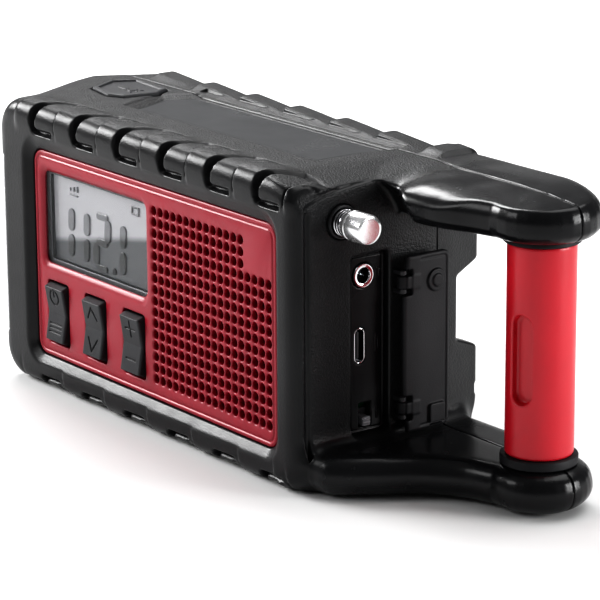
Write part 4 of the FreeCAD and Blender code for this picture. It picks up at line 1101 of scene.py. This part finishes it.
def make_looks():
    looks = {"case_black": case_look()}

    def add(name, color, rough, other, mottle, grain, wear=None, **values):
        """Mottled colour, worn roughness if asked, and a grain of (scale, depth, detail, strength)."""
        look = Look(name, color, rough, **values).tint(other, mottle)
        if wear:
            look.wear(*wear)
        if grain:
            look.grain(*grain)
        looks[name] = look.material
        return look

    add("panel_red", (0.30, 0.005, 0.022), 0.38, (0.26, 0.004, 0.018), 70, (3200, 5e-5, 2, 0.45))
    add("grip_red", (0.54, 0.010, 0.026), 0.34, (0.48, 0.009, 0.023), 40, (1500, 4e-5, 2, 0.3),
        Coat_Weight=0.08, Coat_Roughness=0.15)
    add("key_dark", (0.030, 0.031, 0.034), 0.45, (0.022, 0.022, 0.025), 120, (2600, 6e-5, 2, 0.6), IOR=1.4)
    add("rubber_black", (0.010, 0.010, 0.0115), 0.55, (0.018, 0.018, 0.020), 80, (3000, 6e-5, 2, 0.6),
        IOR=1.35)
    add("hinge_black", (0.015, 0.015, 0.017), 0.5, (0.022, 0.022, 0.024), 90, (2400, 6e-5, 2, 0.6))
    add("chip_black", (0.018, 0.018, 0.020), 0.5, (0.030, 0.030, 0.032), 300, (3000, 4e-5))
    add("part_white", (0.72, 0.72, 0.70), 0.5, (0.66, 0.66, 0.65), 60, (1800, 4e-5))
    add("lamp_white", (0.85, 0.82, 0.62), 0.35, (0.80, 0.74, 0.45), 500, (1800, 3e-5))
    add("gear_nylon", (0.70, 0.68, 0.60), 0.42, (0.63, 0.61, 0.52), 90, (1400, 4e-5))
    add("battery_grey", (0.10, 0.12, 0.16), 0.45, (0.07, 0.09, 0.13), 120, (900, 3e-5))
    add("paper_cone", (0.045, 0.043, 0.040), 0.85, (0.060, 0.056, 0.052), 350, (1600, 1e-4, 5))
    add("magnet", (0.06, 0.06, 0.065), 0.6, (0.09, 0.09, 0.095), 200, (1200, 8e-5, 4), Metallic=0.4)
    add("steel", (0.55, 0.55, 0.56), 0.30, (0.47, 0.47, 0.48), 150, (1500, 2e-5), (0.08, 300), Metallic=1)
    add("chrome", (0.82, 0.82, 0.84), 0.10, (0.76, 0.76, 0.78), 120, (900, 1e-5), (0.04, 400), Metallic=1)
    add("cap_silver", (0.92, 0.92, 0.93), 0.24, (0.86, 0.86, 0.87), 120, (900, 1e-5), (0.04, 400),
        Metallic=0.85)
    add("icon_black", (0.006, 0.006, 0.007), 0.6, (0.010, 0.010, 0.011), 200, (2600, 4e-5))
    add("plate_black", (0.006, 0.006, 0.007), 0.30, (0.013, 0.013, 0.014), 70, (2600, 2e-5), (0.05,),
        IOR=1.28)
    add("tray_grey", (0.10, 0.105, 0.11), 0.4, (0.08, 0.084, 0.088), 90, (2600, 3e-5))
    add("nub_grey", (0.16, 0.16, 0.17), 0.4, (0.12, 0.12, 0.13), 200, (2600, 4e-5))
    add("window_clear", (0.30, 0.31, 0.32), 0.05, (0.36, 0.37, 0.38), 40, (60, 1e-5), (0.02,), Alpha=0.07,
        IOR=1.35)
    add("cloth_black", (0.006, 0.006, 0.007), 0.9, (0.012, 0.012, 0.013), 900,
        None).bump_weave(1500, 1.5e-4)
    looks["board_green"] = Look("board_green", (0.010, 0.085, 0.035),
                                0.35).traces((0.02, 0.16, 0.06)).material
    add("solar_glass", (0.022, 0.023, 0.026), 0.30, (0.032, 0.033, 0.036), 25, (2000, 1e-5), (0.04, 60),
        IOR=1.27)
    add("lens_clear", (0.96, 0.965, 0.97), 0.16, (0.92, 0.93, 0.94), 120, (500, 2e-5), (0.05,),
        Transmission_Weight=0.05, IOR=1.45)
    add("solar_dark", (0.010, 0.012, 0.020), 0.25, (0.014, 0.018, 0.034), 30, None, (0.05,))
    # Glass and segments carry the same painted reflection: light above the slanting border, dark below it.
    looks["lcd_grey"] = lcd_painted_reflection_look("lcd_grey", (0.40, 0.40, 0.42), (0.050, 0.055, 0.060))
    looks["lcd_mark"] = lcd_painted_reflection_look("lcd_mark", (0.17, 0.175, 0.185), (0.014, 0.015, 0.017))
    return looks


# Camera, floor and light --------------------


def make_camera():
    camera = bpy.data.cameras.new("camera")
    camera.lens, camera.sensor_width, camera.sensor_fit = 178.06, 36, "HORIZONTAL"
    ob = bpy.data.objects.new("camera", camera)
    bpy.context.scene.collection.objects.link(ob)
    azimuth, elevation, roll = (math.radians(a) for a in (53.509, 15.417, -0.34))
    back = Vector((math.sin(azimuth) * math.cos(elevation), -math.cos(azimuth) * math.cos(elevation),
                   math.sin(elevation)))
    level = Vector((math.cos(azimuth), math.sin(azimuth), 0))
    rise = back.cross(level)
    right = level * math.cos(roll) + rise * math.sin(roll)
    up = rise * math.cos(roll) - level * math.sin(roll)
    turn = Matrix((right, up, back)).transposed().to_4x4()
    ob.matrix_world = Matrix.Translation(Vector((-0.03516, 0.03027, 0.02175)) + back * 0.798736) @ turn
    camera.clip_start, camera.clip_end = 0.05, 20
    bpy.context.scene.camera = ob


def softbox(name, place, aim, width, height, power):
    light = bpy.data.lights.new(name, "AREA")
    light.shape, light.size, light.size_y, light.energy = "RECTANGLE", width, height, power
    ob = bpy.data.objects.new(name, light)
    bpy.context.scene.collection.objects.link(ob)
    ob.location = place
    ob.rotation_euler = (Vector(aim) - Vector(place)).to_track_quat("-Z", "Y").to_euler()


def make_studio():
    scene = bpy.context.scene
    scene.view_settings.view_transform = "Standard"
    scene.view_settings.look = "High Contrast"
    world = bpy.data.worlds.new("studio")
    scene.world = world
    world.use_nodes = True
    tree = world.node_tree
    coords = tree.nodes.new("ShaderNodeTexCoord")
    split = tree.nodes.new("ShaderNodeSeparateXYZ")
    ramp = tree.nodes.new("ShaderNodeMapRange")
    tree.links.new(coords.outputs["Generated"], split.inputs["Vector"])
    tree.links.new(split.outputs["Z"], ramp.inputs["Value"])
    for key, value in (("From Max", 0.9), ("To Min", 0.12), ("To Max", 0.26)):
        ramp.inputs[key].default_value = value
    background = tree.nodes["Background"]
    tree.links.new(ramp.outputs["Result"], background.inputs["Strength"])
    background.inputs["Color"].default_value = (1, 1, 1, 1)

    mesh = bpy.data.meshes.new("floor")
    mesh.from_pydata([(-4, -4, 0), (4, -4, 0), (4, 4, 0), (-4, 4, 0)], [], [(0, 1, 2, 3)])
    floor = bpy.data.objects.new("floor", mesh)
    scene.collection.objects.link(floor)
    look = Look("floor_pale", (0.76, 0.76, 0.76), 0.9, Specular_IOR_Level=0.1).tint((0.75, 0.75, 0.75), 8)
    mesh.materials.append(look.material)
    floor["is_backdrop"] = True
    floor.location.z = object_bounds()[0][2] - 0.0002

    # name, place, aim, width, height, power
    for light in (("top_light", (0.1, 0.45, 1.15), (0, 0, 0.04), 1, 0.9, 7),
                  ("arm_light", (-0.85, 0.3, 0.92), (0.03, 0, 0.06), 0.55, 0.35, 6.5),
                  ("key_light", (-1, -0.5, 0.56), (0, 0, 0.03), 0.6, 0.4, 14),
                  ("front_light", (-0.35, -1.2, 0.75), (0, 0, 0.04), 0.5, 0.5, 3.5),
                  ("right_light", (1, 0.75, 0.22), (0.05, 0, 0.03), 0.5, 0.6, 12),
                  ("back_light", (-1.3, 1.1, 0.35), (0, 0, 0.05), 1.6, 0.4, 1)):
        softbox(*light)


def dress_cad():
    """Gives every CAD node that stays in view its procedural material."""
    slots = {part["node"]: part["material_slot"] for part in frame["record"]["subparts"]}
    for name, ob in frame["nodes"].items():
        ob.data.materials.clear()
        ob.data.materials.append(LOOKS.get(slots[name], LOOKS["part_white"]))


LOOKS = make_looks()
make_camera()
dress_cad()
make_case()
red_panel()
display()
rocker("rocker_left", 0, power_icon, "power_rocker", "rocker_power_menu")
rocker("rocker_middle", 1, arrow_icon, "volume_rocker", "rocker_up_down")
rocker("rocker_right", 2, sign_icon, "tuning_rocker", "rocker_plus_minus")
end_pieces()
antenna()
socket_cover()
top_pieces()
torch()
grip()
crank()
back_pieces()
make_studio()
